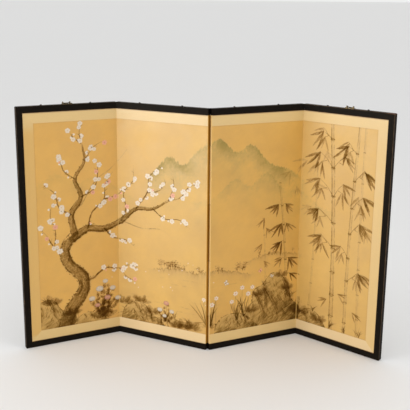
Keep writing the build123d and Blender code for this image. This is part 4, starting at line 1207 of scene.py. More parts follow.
def paint_limb(cv, pts, width, dark=1.5, wash=0.5, bark=1.0):
    """A tree limb: pale wash, dry dark sides, knots and bark marks."""
    r = cv.rng
    path = curve(pts, 2.0)
    n = len(path)
    w = np.interp(np.linspace(0, 1, n), np.linspace(0, 1, len(width)), width)
    tan = np.gradient(path, axis=0)
    tan /= np.hypot(*tan.T)[:, None] + 1e-9
    nor = np.stack([-tan[:, 1], tan[:, 0]], 1)
    lump = np.interp(np.arange(n), np.arange(0, n + 8, 7), r.normal(0, 1, len(np.arange(0, n + 8, 7))))
    lump2 = np.interp(np.arange(n), np.arange(0, n + 8, 5), r.normal(0, 1, len(np.arange(0, n + 8, 5))))
    cv.stroke(path[::6], w[::6] * 0.98, ink=wash, k=PALE, rough=0.10, taper=(0.0, 0.12), edge=0.35, soft=0.12)
    cv.stroke(path[::6] + nor[::6] * w[::6, None] * 0.16, w[::6] * 0.62, ink=wash * 1.1, k=INK, rough=0.2, dry=0.62, taper=(0.0, 0.1))
    shady = np.where(nor[:, 0] + 0.6 * nor[:, 1] * -1 > 0, 1.0, -1.0)[:, None]  # the side away from the upper left
    if w.mean() > 9:
        cv.stroke((path + nor * shady * w[:, None] * 0.30)[::6], w[::6] * 0.44, ink=wash * 1.9, k=INK, rough=0.35, dry=0.34, taper=(0.02, 0.1), soft=0.35)
        cv.stroke((path + nor * shady * w[:, None] * 0.40)[::6], w[::6] * 0.22, ink=wash * 1.6, k=INK, rough=0.4, dry=0.2, taper=(0.02, 0.1), soft=0.3)
    for sgn, amp in ((1, lump), (-1, lump2)):
        off = path + nor * sgn * (w * 0.47 + amp * np.minimum(w * 0.07, 1.8))[:, None]
        k0 = 0
        while k0 < n - 3:  # the outline is many broken, pressed strokes
            k1 = min(n, k0 + int(r.integers(9, 26)))
            seg = off[k0:k1:3] if k1 - k0 > 6 else off[k0:k1]
            if len(seg) >= 2:
                lw = np.clip(w[k0:k1].mean() * 0.10, 0.9, 4.2) * r.uniform(0.7, 1.35)
                cv.stroke(seg, [lw * 0.7, lw * 1.3, lw * 0.5], ink=dark * r.uniform(0.75, 1.15), rough=0.22, dry=r.uniform(0.1, 0.5), taper=(0.1, 0.2))
            k0 = k1 - int(r.integers(0, 4))
    marks = int(n * bark * np.clip(w.mean() / 16, 0.15, 2.4) * 0.9)
    for _ in range(marks):
        j = int(r.integers(2, n - 3))
        off = r.uniform(-0.42, 0.42)
        p = path[j] + nor[j] * w[j] * off
        ln = r.uniform(2.5, 7.0) * np.clip(w[j] / 22, 0.4, 1.4)
        ang = r.normal(0, 0.5) + (0.5 if off > 0 else -0.4)
        dvec = tan[j] * math.cos(ang) + nor[j] * math.sin(ang)
        bow = nor[j] * r.normal(0, 0.18) * ln
        cv.stroke([p - dvec * ln / 2, p + bow, p + dvec * ln / 2], [0.5, r.uniform(0.9, 2.0), 0.4],
                  ink=dark * r.uniform(0.3, 0.85), rough=0.25, dry=r.uniform(0, 0.55), taper=(0.2, 0.3))
    for _ in range(int(marks * 0.16)):  # lichen dots
        j = int(r.integers(2, n - 3))
        p = path[j] + nor[j] * w[j] * r.choice([-1, 1]) * r.uniform(0.42, 0.62)
        cv.dot(p[0], p[1], r.uniform(0.8, 1.9), ink=dark * r.uniform(0.7, 1.1), rough=0.3)


def blossom(cv, x, y, r0, turn, kind="open", colour=GOFUN, tilt=1.0):
    r = cv.rng
    if kind == "bud":
        cv.dot(x, y, r0 * 0.55, colour=colour, alpha=0.95, rough=0.05)
        cv.dot(x + 0.35 * r0 * math.cos(turn), y + 0.35 * r0 * math.sin(turn), r0 * 0.40, colour=colour, alpha=0.95, rough=0.05)
        bx, by = x - r0 * 0.5 * math.cos(turn), y - r0 * 0.5 * math.sin(turn)
        cv.dot(bx, by, r0 * 0.26, ink=1.7)
        return
    petals = 5 if kind == "open" else 3
    spread = 2 * math.pi / 5
    start = turn if kind == "open" else turn - spread
    for p in range(petals):
        a = start + p * spread + r.normal(0, 0.05)
        pr = r0 * r.uniform(0.52, 0.60)
        px, py = x + r0 * 0.62 * math.cos(a), y + r0 * 0.62 * math.sin(a) * tilt
        cv.dot(px, py, pr * 1.07, ink=0.34, k=PALE, squash=0.95, rough=0.05)
        cv.dot(px, py, pr * 0.96, colour=colour, alpha=0.93, squash=0.96, rough=0.05)
    cv.dot(x, y, r0 * 0.40, colour=colour, alpha=0.9)
    inner = BLUSH if colour is GOFUN else BLUSH * 0.7
    cv.dot(x, y, r0 * 0.26, colour=inner, alpha=0.55, soft=0.5)
    for p in range(9):
        a = turn + p * 2 * math.pi / 9 + r.normal(0, 0.1)
        L = r0 * r.uniform(0.42, 0.62)
        e = (x + L * math.cos(a), y + L * math.sin(a) * tilt)
        cv.stroke([(x, y), e], 0.28, ink=0.9, taper=(0, 0), rough=0)
        cv.dot(e[0], e[1], 0.42, ink=1.6)
    if kind != "open":
        cv.dot(x - r0 * 0.35 * math.cos(turn), y - r0 * 0.35 * math.sin(turn), r0 * 0.24, ink=1.7)


def paint_twig(cv, pts, width, flowers, r0=8.0, pink=0.14, ink=1.9):
    r = cv.rng
    cv.stroke(pts, width, ink=ink, rough=0.14, dry=0.18, taper=(0.02, 0.25), press=0.12)
    path = curve(pts, 1.0)
    n = len(path)
    tan = np.gradient(path, axis=0)
    tan /= np.hypot(*tan.T)[:, None] + 1e-9
    for _ in range(max(2, n // 28)):  # knots and spurs
        j = int(r.integers(3, n - 3))
        sgn = r.choice([-1, 1])
        v = tan[j] * 0.6 + np.array([-tan[j][1], tan[j][0]]) * sgn
        ln = r.uniform(4, 14)
        cv.stroke([path[j], path[j] + v * ln * 0.5, path[j] + v * ln + np.array([0, 1.5])], [1.5, 1.0, 0.4], ink=ink, rough=0.15)
    return [(path[int(f * (n - 1))], tan[int(f * (n - 1))]) for f in np.sort(r.uniform(0.06, 1.0, flowers))], r0, pink


def paint_flowers(cv, spots):
    r = cv.rng
    todo = []
    for places, r0, pink in spots:
        r0 = r0 * 1.08
        for p, t in places:
            sgn = r.choice([-1, 1])
            off = np.array([-t[1], t[0]]) * sgn * r.uniform(0.5, 0.95) * r0
            todo.append((p + off, r0 * r.uniform(0.82, 1.12), math.atan2(off[1], off[0]) + r.normal(0, 0.4), pink))
    for (x, y), r0, turn, pink in todo:
        kind = r.choice(["open", "open", "open", "side", "bud", "bud"])
        col = BLUSH if r.random() < pink else GOFUN
        blossom(cv, x, y, r0 * (0.8 if kind == "bud" else 1.0), turn, kind, col, r.uniform(0.82, 1.0))


def paint_plum(cv):
    r = cv.rng
    # behind: pale far branches
    for pts, w in (([(170, 470), (230, 560), (300, 610), (372, 690)], [5, 2]), ([(330, 400), (420, 380), (505, 385), (566, 352)], [5, 1.6])):
        cv.stroke(pts, w, ink=0.6, k=PALE, rough=0.2, dry=0.3, taper=(0.05, 0.4))
    trunk = [(96, -20), (118, 60), (168, 128), (172, 190), (118, 248), (104, 312), (150, 366)]
    limb_r = [(134, 345), (196, 380), (262, 372), (330, 398), (396, 452), (470, 462), (538, 500)]
    limb_u = [(146, 362), (132, 440), (172, 505), (150, 575), (188, 640), (178, 712)]
    paint_limb(cv, limb_r, [30, 27, 21, 16, 11, 6], dark=1.9, wash=0.62)
    paint_limb(cv, limb_u, [26, 21, 15, 11, 6], dark=1.8, wash=0.55)
    paint_limb(cv, trunk, [62, 52, 46, 42, 38, 36], dark=2.1, wash=0.62, bark=1.25)
    # a split, hollow old scar and a broken stub on the trunk
    cv.stroke([(150, 118), (166, 150), (160, 188)], [3, 11, 3], ink=1.5, rough=0.3, dry=0.2)
    cv.stroke([(112, 252), (122, 282), (114, 306)], [2, 8, 2], ink=1.4, rough=0.3, dry=0.3)
    cv.stroke([(186, 176), (216, 182), (236, 198)], [17, 12, 8], ink=1.2, rough=0.2, dry=0.4, taper=(0.0, 0.05))
    spots = []
    T = paint_twig
    spots.append(T(cv, [(108, 300), (64, 322), (34, 372), (8, 398)], [8, 5, 3, 1.6], 9))
    spots.append(T(cv, [(64, 322), (70, 380), (52, 436), (58, 486)], [4, 3, 1.2], 8))
    spots.append(T(cv, [(228, 192), (268, 214), (318, 206), (372, 226), (410, 216)], [7, 5, 3.4, 1.4], 13))
    spots.append(T(cv, [(318, 206), (352, 176), (398, 160)], [3.4, 2.4, 1.0], 6))
    spots.append(T(cv, [(196, 380), (214, 440), (262, 486), (270, 548), (306, 596)], [8, 6, 4, 2.4, 1.2], 14))
    spots.append(T(cv, [(262, 486), (316, 500), (352, 536)], [4, 2.6, 1.2], 7))
    spots.append(T(cv, [(262, 372), (302, 330), (356, 322), (398, 296)], [7, 5, 3, 1.3], 9))
    spots.append(T(cv, [(330, 398), (352, 450), (344, 508), (384, 560), (388, 620)], [7, 5, 3.4, 2.4, 1.2], 12))
    spots.append(T(cv, [(396, 452), (446, 520), (458, 584), (512, 632)], [6, 4.4, 3, 1.2], 12))
    spots.append(T(cv, [(446, 520), (500, 536), (532, 576)], [3.4, 2.4, 1.0], 6))
    spots.append(T(cv, [(470, 462), (520, 430), (584, 432), (628, 404)], [5, 3.8, 2.4, 1.1], 9))
    spots.append(T(cv, [(538, 500), (590, 520), (622, 562), (676, 580)], [5, 3.6, 2.4, 1.1], 10))
    spots.append(T(cv, [(538, 500), (560, 556), (556, 600)], [4, 2.6, 1.1], 6))
    spots.append(T(cv, [(132, 440), (88, 470), (70, 528), (30, 560)], [7, 5, 3, 1.2], 10))
    spots.append(T(cv, [(172, 505), (222, 530), (240, 586), (236, 650)], [6, 4, 2.6, 1.1], 10))
    spots.append(T(cv, [(150, 575), (108, 610), (96, 668)], [5, 3.4, 1.2], 8))
    spots.append(T(cv, [(188, 640), (226, 690), (268, 712)], [4, 2.6, 1.0], 7))
    spots.append(T(cv, [(178, 712), (172, 750), (184, 782)], [4, 2.6, 1.0], 5))
    spots.append(T(cv, [(178, 705), (146, 734), (132, 764)], [3.4, 2.2, 1.0], 5))
    paint_flowers(cv, spots)
    for _ in range(16):  # petals adrift
        x, y = r.uniform(250, 720), r.uniform(90, 330)
        cv.dot(x, y, r.uniform(1.8, 2.8), colour=GOFUN, alpha=0.8, squash=0.6, turn=r.uniform(0, 3))


def bamboo_leaf(cv, x, y, ang, ln, w, ink, bend=0.0):
    n = 7
    t = np.linspace(0, 1, n)
    dx, dy = math.cos(ang), math.sin(ang)
    px = x + dx * ln * t - dy * bend * ln * t ** 2
    py = y + dy * ln * t + dx * bend * ln * t ** 2
    prof = np.array([0.16, 0.62, 0.95, 1.0, 0.80, 0.46, 0.10]) * w
    cv.stroke(np.stack([px, py], 1), prof, ink=ink, rough=0.05, taper=(0, 0.10), edge=0.18, dry=0.0 if ink > 1.2 else 0.12, step=2.0, pool=0.15)


def bamboo_spray(cv, x, y, ang, count, size, ink):
    """A few leaves that hang from one twig end."""
    r = cv.rng
    for k in range(count):
        f = (k - (count - 1) / 2) / max(1, count)
        a = ang + f * 1.5 + r.normal(0, 0.12)
        bamboo_leaf(cv, x + r.normal(0, 1.5), y + r.normal(0, 1.5), a, size * r.uniform(0.72, 1.12), size * r.uniform(0.125, 0.16),
                    ink * r.uniform(0.8, 1.12), r.normal(0, 0.07))


def paint_culm(cv, base, top, width, ink, nodes_at, sway):
    r = cv.rng
    base, top = np.array(base, float), np.array(top, float)
    L = np.hypot(*(top - base))
    marks = [0.0] + list(nodes_at) + [1.0]
    spots = []
    at_ = lambda f: base + (top - base) * f + np.array([sway * math.sin(math.pi * f), 0])
    for f0, f1 in zip(marks[:-1], marks[1:]):
        a, b = at_(f0 + 1.6 / L), at_(f1 - 1.6 / L)
        mid = (a + b) / 2
        w = width * (1 - 0.25 * (f0 + f1) / 2)
        cv.stroke([a, mid, b], [w * 1.10, w * 0.94, w * 0.92, w * 1.06], ink=ink, k=PALE, rough=0.03, taper=(0, 0), edge=1.15, dry=0.30, step=3.0)
        cv.stroke([a + [-w * 0.36, 0], mid + [-w * 0.33, 0], b + [-w * 0.36, 0]], w * 0.20, ink=ink * 1.3, k=INK, rough=0.12, taper=(0.02, 0.05), dry=0.45)
        spots.append(b)
        cv.stroke([b + [-w * 0.66, 1.2], b + [0, 3.0], b + [w * 0.66, 1.0]], [2.6, 1.4, 2.8], ink=ink * 2.6, rough=0.15, taper=(0.05, 0.08))
    return spots[:-1], width


def paint_bamboo(cv):
    r = cv.rng
    # far, pale stems and leaves first
    far, _ = paint_culm(cv, (1128, -10), (1150, 640), 9, 0.28, [0.13, 0.27, 0.42, 0.57, 0.72, 0.87], 7)
    paint_culm(cv, (1352, -10), (1346, 800), 10, 0.30, [0.1, 0.22, 0.34, 0.47, 0.6, 0.74, 0.88], -6)
    for x, y, a, c, s in ((1150, 640, -2.2, 4, 62), (1140, 560, -0.9, 4, 58), (1128, 470, -2.4, 4, 56), (1100, 640, -2.6, 4, 60), (1188, 690, -1.2, 4, 62),
                          (1330, 540, -2.0, 4, 58), (1364, 420, -1.1, 3, 54), (1030, 600, -2.3, 3, 52), (1060, 540, -1.4, 3, 50)):
        bamboo_spray(cv, x, y, a, c, s, 0.32)
    c_nodes, _ = paint_culm(cv, (1030, 60), (986, 560), 10, 0.40, [0.13, 0.26, 0.39, 0.53, 0.67, 0.82], 8)
    paint_culm(cv, (936, 60), (918, 430), 7, 0.28, [0.16, 0.32, 0.48, 0.65, 0.82], 5)
    for p, a, c, s, ik in ((c_nodes[5], -2.4, 5, 58, 1.25), (c_nodes[5], -0.8, 4, 54, 1.1), (c_nodes[4], -2.1, 5, 60, 1.5), (c_nodes[4], -1.0, 4, 52, 1.2), (c_nodes[3], -2.3, 5, 56, 1.6),
                           (c_nodes[2], -0.9, 5, 54, 1.5), (c_nodes[2], -2.5, 4, 48, 1.2), (c_nodes[1], -0.7, 4, 46, 1.4)):
        m = np.array(p) + [22 * math.cos(a), 16 + 10 * math.sin(a)]
        cv.stroke([p, (np.array(p) + m) / 2 + [0, 5], m], [1.8, 1.2, 0.9], ink=ik * 0.9, rough=0.1)
        bamboo_spray(cv, m[0], m[1], a, c, s, ik)
    for x, y, a, c, s in ((924, 430, -2.0, 4, 44), (932, 390, -0.9, 4, 42), (916, 330, -2.3, 4, 44), (926, 262, -1.0, 3, 38)):
        bamboo_spray(cv, x, y, a, c, s, 0.7)
    a_nodes, _ = paint_culm(cv, (1236, -12), (1204, 800), 19, 0.52, [0.085, 0.19, 0.30, 0.415, 0.535, 0.66, 0.79, 0.92], 9)
    b_nodes, _ = paint_culm(cv, (1296, -12), (1322, 800), 14, 0.46, [0.07, 0.17, 0.275, 0.385, 0.50, 0.62, 0.745, 0.87], -8)
    def branch(p, dx, dy, ink=1.0):
        p = np.array(p)
        e = p + [dx, dy]
        cv.stroke([p, p + [dx * 0.5, dy * 0.62], e], [2.4, 1.8, 1.2], ink=ink, rough=0.1, taper=(0.0, 0.1))
        return e
    work = [(a_nodes[5], -62, 60), (a_nodes[5], 40, 52), (a_nodes[6], -58, 54), (a_nodes[6], 52, 50), (a_nodes[4], -70, 46), (a_nodes[3], -56, 40),
            (b_nodes[5], 44, 48), (b_nodes[6], 40, 40), (b_nodes[4], 40, 44), (b_nodes[3], -34, 42), (b_nodes[2], 48, 36), (a_nodes[7], -40, 26), (b_nodes[7], -36, 24)]
    for p, dx, dy in work:
        e = branch(p, dx, dy)
        sgn = 1 if dx > 0 else -1
        m = (np.array(p) + e) / 2
        bamboo_spray(cv, e[0], e[1], -1.57 + sgn * 0.75, int(r.integers(3, 5)), r.uniform(62, 82), r.uniform(0.75, 1.25))
        e2 = branch(m, dx * 0.35, -6)
        if r.random() < 0.7:
            bamboo_spray(cv, e2[0], e2[1], -1.57 + sgn * 0.2, 3, r.uniform(50, 66), r.uniform(0.55, 1.0))
        if r.random() < 0.4:
            e3 = branch(m, dx * 0.5, 26)
            bamboo_spray(cv, e3[0], e3[1], -1.2 * sgn if sgn > 0 else -2.2, 3, r.uniform(44, 58), 0.7)
    # young leaves low down
    for x, y, a in ((1262, 150, -0.4), (1212, 120, -2.7), (1330, 96, -0.6)):
        bamboo_spray(cv, x, y, a, 3, 46, 0.9)


def paint_rock(cv, outline, dens=0.5, light=(-0.5, 0.8)):
    """A rock from its outline: scrubbed wash, hewn marks, a broken dark contour, moss dots."""
    r = cv.rng
    path = curve(list(outline) + [outline[0]], 2.0)
    x0, y0, x1, y1 = path[:, 0].min(), path[:, 1].min(), path[:, 0].max(), path[:, 1].max()
    box = cv.area(x0 - 3, y0 - 3, x1 + 3, y1 + 3)
    c, d, a, b = box
    X, Y = cv.X[c:d, a:b], cv.Y[c:d, a:b]
    inside = np.zeros(X.shape, bool)
    px, py = path[:, 0], path[:, 1]
    for j in range(len(path) - 1):
        if py[j] == py[j + 1]:
            continue
        cross = ((py[j] > Y) != (py[j + 1] > Y)) & (X < (px[j + 1] - px[j]) * (Y - py[j]) / (py[j + 1] - py[j]) + px[j])
        inside ^= cross
    m = inside.astype(np.float32)
    ground = np.array(GROUND[:3], np.float32) * 0.97
    cv.cover(box, m * 0.9, ground)
    u = (X - x0) / (x1 - x0) * 2 - 1
    v = (Y - y0) / (y1 - y0) * 2 - 1
    shade = np.clip(0.5 - 0.5 * (u * light[0] + v * light[1]), 0, 1)
    slant = (X * 0.82 + Y * 0.57) / PX  # brush streaks run down to the right
    cross_ = (-X * 0.57 + Y * 0.82) / PX
    mm = cv.hair.shape[0]
    streak = cv.hair[((cross_ * 0.55) % mm).astype(int), ((slant * 0.10) % mm).astype(int)]
    cloud = cv.cloud[c:d, a:b]
    facet = np.sin(u * 5.1 + v * 2.3 + 1.5 * np.sin(v * 3.7 + 1.0))
    body = shade ** 1.3 * (1 + 0.35 * facet + 0.3 * cloud)
    dd = m * (0.05 + 0.80 * dens * np.clip(body, 0, 2) * (1 + 0.40 * streak) + 0.09 * np.clip(streak, 0, 2))
    cv.soak(box, np.clip(dd, 0, 3).astype(np.float32), PALE)
    for _ in range(max(3, int((x1 - x0) / 22))):  # a few broad scrubbed facets
        f = r.uniform(-0.7, 0.8)
        px_, py_ = (x0 + x1) / 2 + f * (x1 - x0) * 0.42, y0 + (y1 - y0) * r.uniform(0.25, 0.8)
        L = r.uniform(0.12, 0.3) * (x1 - x0)
        e = (px_ + L * 0.62, py_ - L * 0.85)
        if e[1] > 2:
            cv.stroke([(px_, py_), ((px_ + e[0]) / 2 + r.normal(0, 2), (py_ + e[1]) / 2), e], [2, r.uniform(6, 13), 3], ink=r.uniform(0.4, 0.9) * (0.5 + dens), rough=0.25, dry=r.uniform(0.65, 0.95), taper=(0.1, 0.3))
    cx, cy = (x0 + x1) / 2, (y0 + y1) / 2
    n = len(path)
    top = [p for p in path if p[1] > cy + 0.15 * (y1 - y0)]
    size = x1 - x0
    for k in range(max(2, int(size / 55))):  # inner planes: a broken edge with its shade to the right of it
        p = np.array(top[int(r.integers(0, len(top)))])
        w = size * r.uniform(0.16, 0.32)
        q1 = p + np.array([w * 0.35, -w * r.uniform(0.5, 0.9)])
        q2 = q1 + np.array([w * r.uniform(-0.25, 0.35), -w * r.uniform(0.6, 1.0)])
        q3 = q2 + np.array([w * r.uniform(0.1, 0.5), -w * r.uniform(0.5, 0.8)])
        pts = [q for q in (p, q1, q2, q3) if q[1] > 3]
        if len(pts) < 2:
            continue
        for off, wd, ik in ((0.17, 0.36, 0.75), (0.09, 0.20, 0.9)):
            cv.stroke([q + np.array([w * off, -w * 0.05]) for q in pts], [w * wd * 0.4, w * wd, w * wd * 0.5], ink=0.75 * ik * dens, rough=0.3, dry=0.55, taper=(0.15, 0.3), soft=0.15)
        cv.stroke(pts, [1.2, r.uniform(2.2, 3.6), 1.6, 1.0], ink=r.uniform(1.9, 2.6), rough=0.25, dry=0.2, taper=(0.1, 0.3))
    cv.stroke([(x1 - size * 0.10, y0 + (y1 - y0) * 0.5), (x1 - size * 0.12, y0 + (y1 - y0) * 0.25), (x1 - size * 0.08, max(0, y0 + 4))],
              [size * 0.05, size * 0.12, size * 0.09], ink=0.7 * dens, rough=0.35, dry=0.5, soft=0.25)
    for _ in range(int(n * 0.50)):  # hewn marks that follow the contour inwards
        j = int(r.integers(0, n - 1))
        f = r.uniform(0.04, 0.75)
        p = path[j] * (1 - f) + np.array([cx, cy]) * f
        ang = -1.15 + r.normal(0, 0.14) if p[0] > cx - 0.1 * size else -1.95 + r.normal(0, 0.14)
        ln = r.uniform(9, 26) * min(1.0, 0.55 + size / 400.0)
        e = p + ln * np.array([math.cos(ang), math.sin(ang)])
        if e[1] < 0:
            continue
        cv.stroke([p, (p + e) / 2 + r.normal(0, 0.8, 2), e], [0.5, r.uniform(1.2, 3.0), 0.8], ink=r.uniform(0.5, 1.25) * (0.7 + 0.9 * dens), rough=0.22,
                  dry=r.uniform(0.2, 0.7), taper=(0.1, 0.35))
    k0 = 0
    while k0 < n - 3:
        k1 = min(n, k0 + int(r.integers(8, 24)))
        seg = path[k0:k1:2]
        if len(seg) > 1 and seg[:, 1].max() > -2:
            lw = r.uniform(1.5, 3.8)
            cv.stroke(seg, [lw * 0.5, lw, lw * 0.6], ink=r.uniform(1.8, 2.8), rough=0.2, dry=r.uniform(0.05, 0.4), taper=(0.1, 0.2))
        k0 = k1 - int(r.integers(-1, 3))
    for _ in range(int(n * 0.10)):
        j = int(r.integers(0, n - 1))
        if path[j][1] > cy:
            cv.dot(path[j][0] + r.normal(0, 2.5), path[j][1] + r.normal(0, 2.5), r.uniform(1.0, 2.3), ink=r.uniform(1.3, 2.2), rough=0.3)


def paint_grass(cv, x, y, count, size, ink, lean=0.0):
    r = cv.rng
    for _ in range(count):
        a = math.pi / 2 + lean + r.normal(0, 0.42)
        ln = size * r.uniform(0.6, 1.15)
        droop = (1 if math.cos(a) > 0 else -1) * r.uniform(0.15, 0.5)
        x0, y0 = x + r.normal(0, size * 0.07), y + r.normal(0, 1.0)
        p1 = (x0 + ln * 0.5 * math.cos(a), y0 + ln * 0.5 * math.sin(a))
        p2 = (x0 + ln * math.cos(a) + droop * ln * 0.5, y0 + ln * math.sin(a) - abs(droop) * ln * 0.35)
        cv.stroke([(x0, y0), p1, p2], [1.0, r.uniform(1.5, 2.4), 0.5], ink=ink * r.uniform(0.7, 1.1), rough=0.08, taper=(0.05, 0.5))


def narcissus(cv, x, y, size, turn):
    r = cv.rng
    for p in range(6):
        a = turn + p * math.pi / 3
        cx, cy = x + size * 0.55 * math.cos(a), y + size * 0.55 * math.sin(a) * 0.85
        cv.dot(cx, cy, size * 0.46, ink=0.45, k=PALE, squash=0.62, turn=a, rough=0.05)
        cv.dot(cx, cy, size * 0.42, colour=GOFUN, alpha=0.95, squash=0.60, turn=a, rough=0.05)
    cv.dot(x, y, size * 0.30, colour=BLUSH, alpha=0.95, rough=0.05)
    cv.dot(x, y, size * 0.14, ink=0.8, rough=0.1)


def paint_bank(cv):
    r = cv.rng
    # water lines and the far shore
    for x0, x1, y, s in ((300, 520, 64, 0.5), (420, 700, 92, 0.42), (560, 860, 70, 0.45), (350, 470, 108, 0.3), (640, 760, 118, 0.3), (470, 640, 44, 0.5)):
        n = 6
        xs = np.linspace(x0, x1, n)
        ys = y + r.normal(0, 1.6, n)
        cv.stroke(np.stack([xs, ys], 1), [0.8, 1.8, 1.2, 1.8, 0.7], ink=s, k=PALE, rough=0.15, dry=0.45, taper=(0.2, 0.3))
    bank = [(300, 14), (360, 34), (430, 30), (520, 44), (600, 32), (690, 46), (760, 36), (840, 58)]
    cv.stroke(bank, [2, 5, 3, 6, 4, 2], ink=0.9, rough=0.3, dry=0.55, taper=(0.05, 0.1))
    cv.stroke([(p[0] + 8, p[1] - 10) for p in bank], [12, 20, 14, 22, 12], ink=0.32, k=PALE, rough=0.3, dry=0.4, taper=(0.1, 0.1), soft=0.5)
    for x in (350, 404, 470, 556, 628, 702, 790):
        paint_grass(cv, x + r.normal(0, 6), 30 + r.normal(0, 5), int(r.integers(7, 12)), r.uniform(26, 46), 1.4, r.normal(0, 0.2))
    paint_rock(cv, [(836, -8), (846, 52), (872, 96), (886, 150), (922, 168), (958, 206), (1000, 198), (1036, 150), (1052, 92), (1082, 58), (1100, -8)], 1.3)
    paint_rock(cv, [(716, -8), (724, 34), (752, 62), (790, 70), (836, 62), (884, 22), (892, -8)], 1.3)
    paint_rock(cv, [(1080, -8), (1094, 34), (1130, 60), (1172, 50), (1200, 20), (1206, -8)], 0.8)
    paint_rock(cv, [(-12, -8), (-12, 86), (22, 118), (58, 108), (84, 70), (128, 52), (150, 18), (156, -8)], 0.72)
    paint_rock(cv, [(328, -8), (336, 34), (362, 66), (398, 84), (436, 72), (462, 40), (500, 22), (512, -8)], 1.25)
    paint_rock(cv, [(140, -8), (150, 26), (186, 44), (226, 34), (262, 10), (268, -8)], 0.6)
    for x, y, c, ln, ik in ((48, 92, 9, 52, 1.35), (128, 40, 8, 40, 1.5), (252, 6, 9, 58, 1.5), (344, 60, 8, 48, 1.5), (420, 78, 8, 44, 1.5), (468, 40, 8, 44, 1.4), (602, 2, 9, 52, 1.4), (906, 120, 8, 46, 1.5), (876, 60, 8, 44, 1.5), (1004, 186, 7, 38, 1.4),
                            (1030, 130, 8, 40, 1.3), (1092, 26, 9, 54, 1.5), (1180, 14, 8, 48, 1.3), (640, 4, 8, 50, 1.3), (572, 0, 7, 44, 1.2)):
        fern_clump(cv, x, y, c, ln, ik)
    kiku_clump(cv, [(206, 96, 13, GOFUN), (238, 132, 15, GOFUN), (270, 92, 13, BLUSH * 0.9), (292, 128, 12, GOFUN), (228, 66, 11, BLUSH * 0.9), (312, 84, 11, GOFUN), (262, 160, 11, GOFUN)], (250, 4), 1.25, 19.0)
    kiku_clump(cv, [(500, 66, 11, GOFUN), (528, 96, 12, BLUSH * 0.9), (552, 66, 10, GOFUN), (520, 44, 9, GOFUN)], (526, 0), 1.25, 15.0)
    # narcissus by the middle rock
    for x, y in ((812, 40), (842, 52), (700, 34)):
        for _ in range(9):
            a = math.pi / 2 + r.normal(0, 0.28)
            ln = r.uniform(70, 118)
            b = r.normal(0, 0.12)
            p2 = (x + ln * math.cos(a) + b * 50, y + ln * math.sin(a) - abs(b) * 30)
            cv.stroke([(x + r.normal(0, 3), y), (x + ln * 0.5 * math.cos(a), y + ln * 0.55 * math.sin(a)), p2], [2.2, 3.8, 3.0, 0.8],
                      ink=r.uniform(0.9, 1.7), k=PALE, rough=0.05, taper=(0.02, 0.25), edge=0.3)
    for x, y in ((806, 148), (834, 168), (860, 140), (790, 118), (878, 164), (706, 118), (688, 138), (724, 142)):
        cv.stroke([(x - r.uniform(-8, 8), 46), (x + r.normal(0, 3), y * 0.6), (x, y - 4)], 1.3, ink=1.0, k=PALE, taper=(0, 0.1))
        narcissus(cv, x, y, r.uniform(9, 11.5), r.uniform(0, 1))
    for x, y, c, s in ((30, 104, 8, 40), (118, 50, 8, 36), (930, 160, 8, 34), (1048, 96, 9, 42), (1150, 52, 8, 36), (1232, 6, 10, 40), (1300, 4, 9, 36), (250, 12, 9, 38), (1360, 4, 9, 42)):
        paint_grass(cv, x, y, c, s, 1.7)


def fern(cv, x, y, ang, ln, ink):
    """An arching frond: a rib and two rows of fine leaflets."""
    r = cv.rng
    bend = (1 if math.cos(ang) > 0 else -1) * r.uniform(0.25, 0.6)
    t = np.linspace(0, 1, 9)
    px = x + ln * t * math.cos(ang) + bend * ln * 0.55 * t ** 2
    py = y + ln * t * math.sin(ang) - abs(bend) * ln * 0.42 * t ** 2
    cv.stroke(np.stack([px, py], 1), [1.2, 0.9, 0.5], ink=ink * 1.1, rough=0.1, step=3.0)
    n = int(8 + ln / 5)
    for k in range(n):
        f = 0.16 + 0.84 * k / n
        cx, cy = np.interp(f, t, px), np.interp(f, t, py)
        a = math.atan2(np.interp(min(1, f + 0.05), t, py) - cy, np.interp(min(1, f + 0.05), t, px) - cx)
        L = ln * 0.26 * math.sin(math.pi * (0.16 + 0.80 * f)) * r.uniform(0.85, 1.12)
        for sg in (1, -1):
            b = a + sg * 0.95 + r.normal(0, 0.08)
            cv.stroke([(cx, cy), (cx + L * math.cos(b), cy + L * math.sin(b))], [0.7, 1.5, 0.6], ink=ink * r.uniform(0.7, 1.1), rough=0.1, taper=(0.05, 0.4), step=2.0)


def fern_clump(cv, x, y, count, ln, ink):
    for k in range(count):
        f = (k + 0.5) / count - 0.5
        fern(cv, x + f * ln * 0.25, y, math.pi / 2 - f * 2.1 + cv.rng.normal(0, 0.08), ln * cv.rng.uniform(0.75, 1.1) * (1 - 0.25 * abs(f)), ink * cv.rng.uniform(0.7, 1.1))


def lobed_leaf(cv, x, y, ang, size, ink):
    """A lobed leaf in five pressed strokes with its veins drawn over."""
    r = cv.rng
    tips = []
    for k in range(5):
        a = ang + (k - 2) * 0.50 + r.normal(0, 0.05)
        L = size * (1.0 - 0.14 * abs(k - 2)) * r.uniform(0.88, 1.1)
        e = (x + L * math.cos(a), y + L * math.sin(a))
        tips.append(e)
        cv.stroke([(x, y), ((x + e[0]) / 2, (y + e[1]) / 2), e], [size * 0.10, size * 0.30, size * 0.20], ink=ink * r.uniform(0.5, 0.8), rough=0.12, edge=0.2, taper=(0.1, 0.25), step=2.0)
    for e in tips:
        cv.stroke([(x, y), (x + (e[0] - x) * 0.86, y + (e[1] - y) * 0.86)], 0.55, ink=ink * 1.2, taper=(0, 0.3), step=3.0)


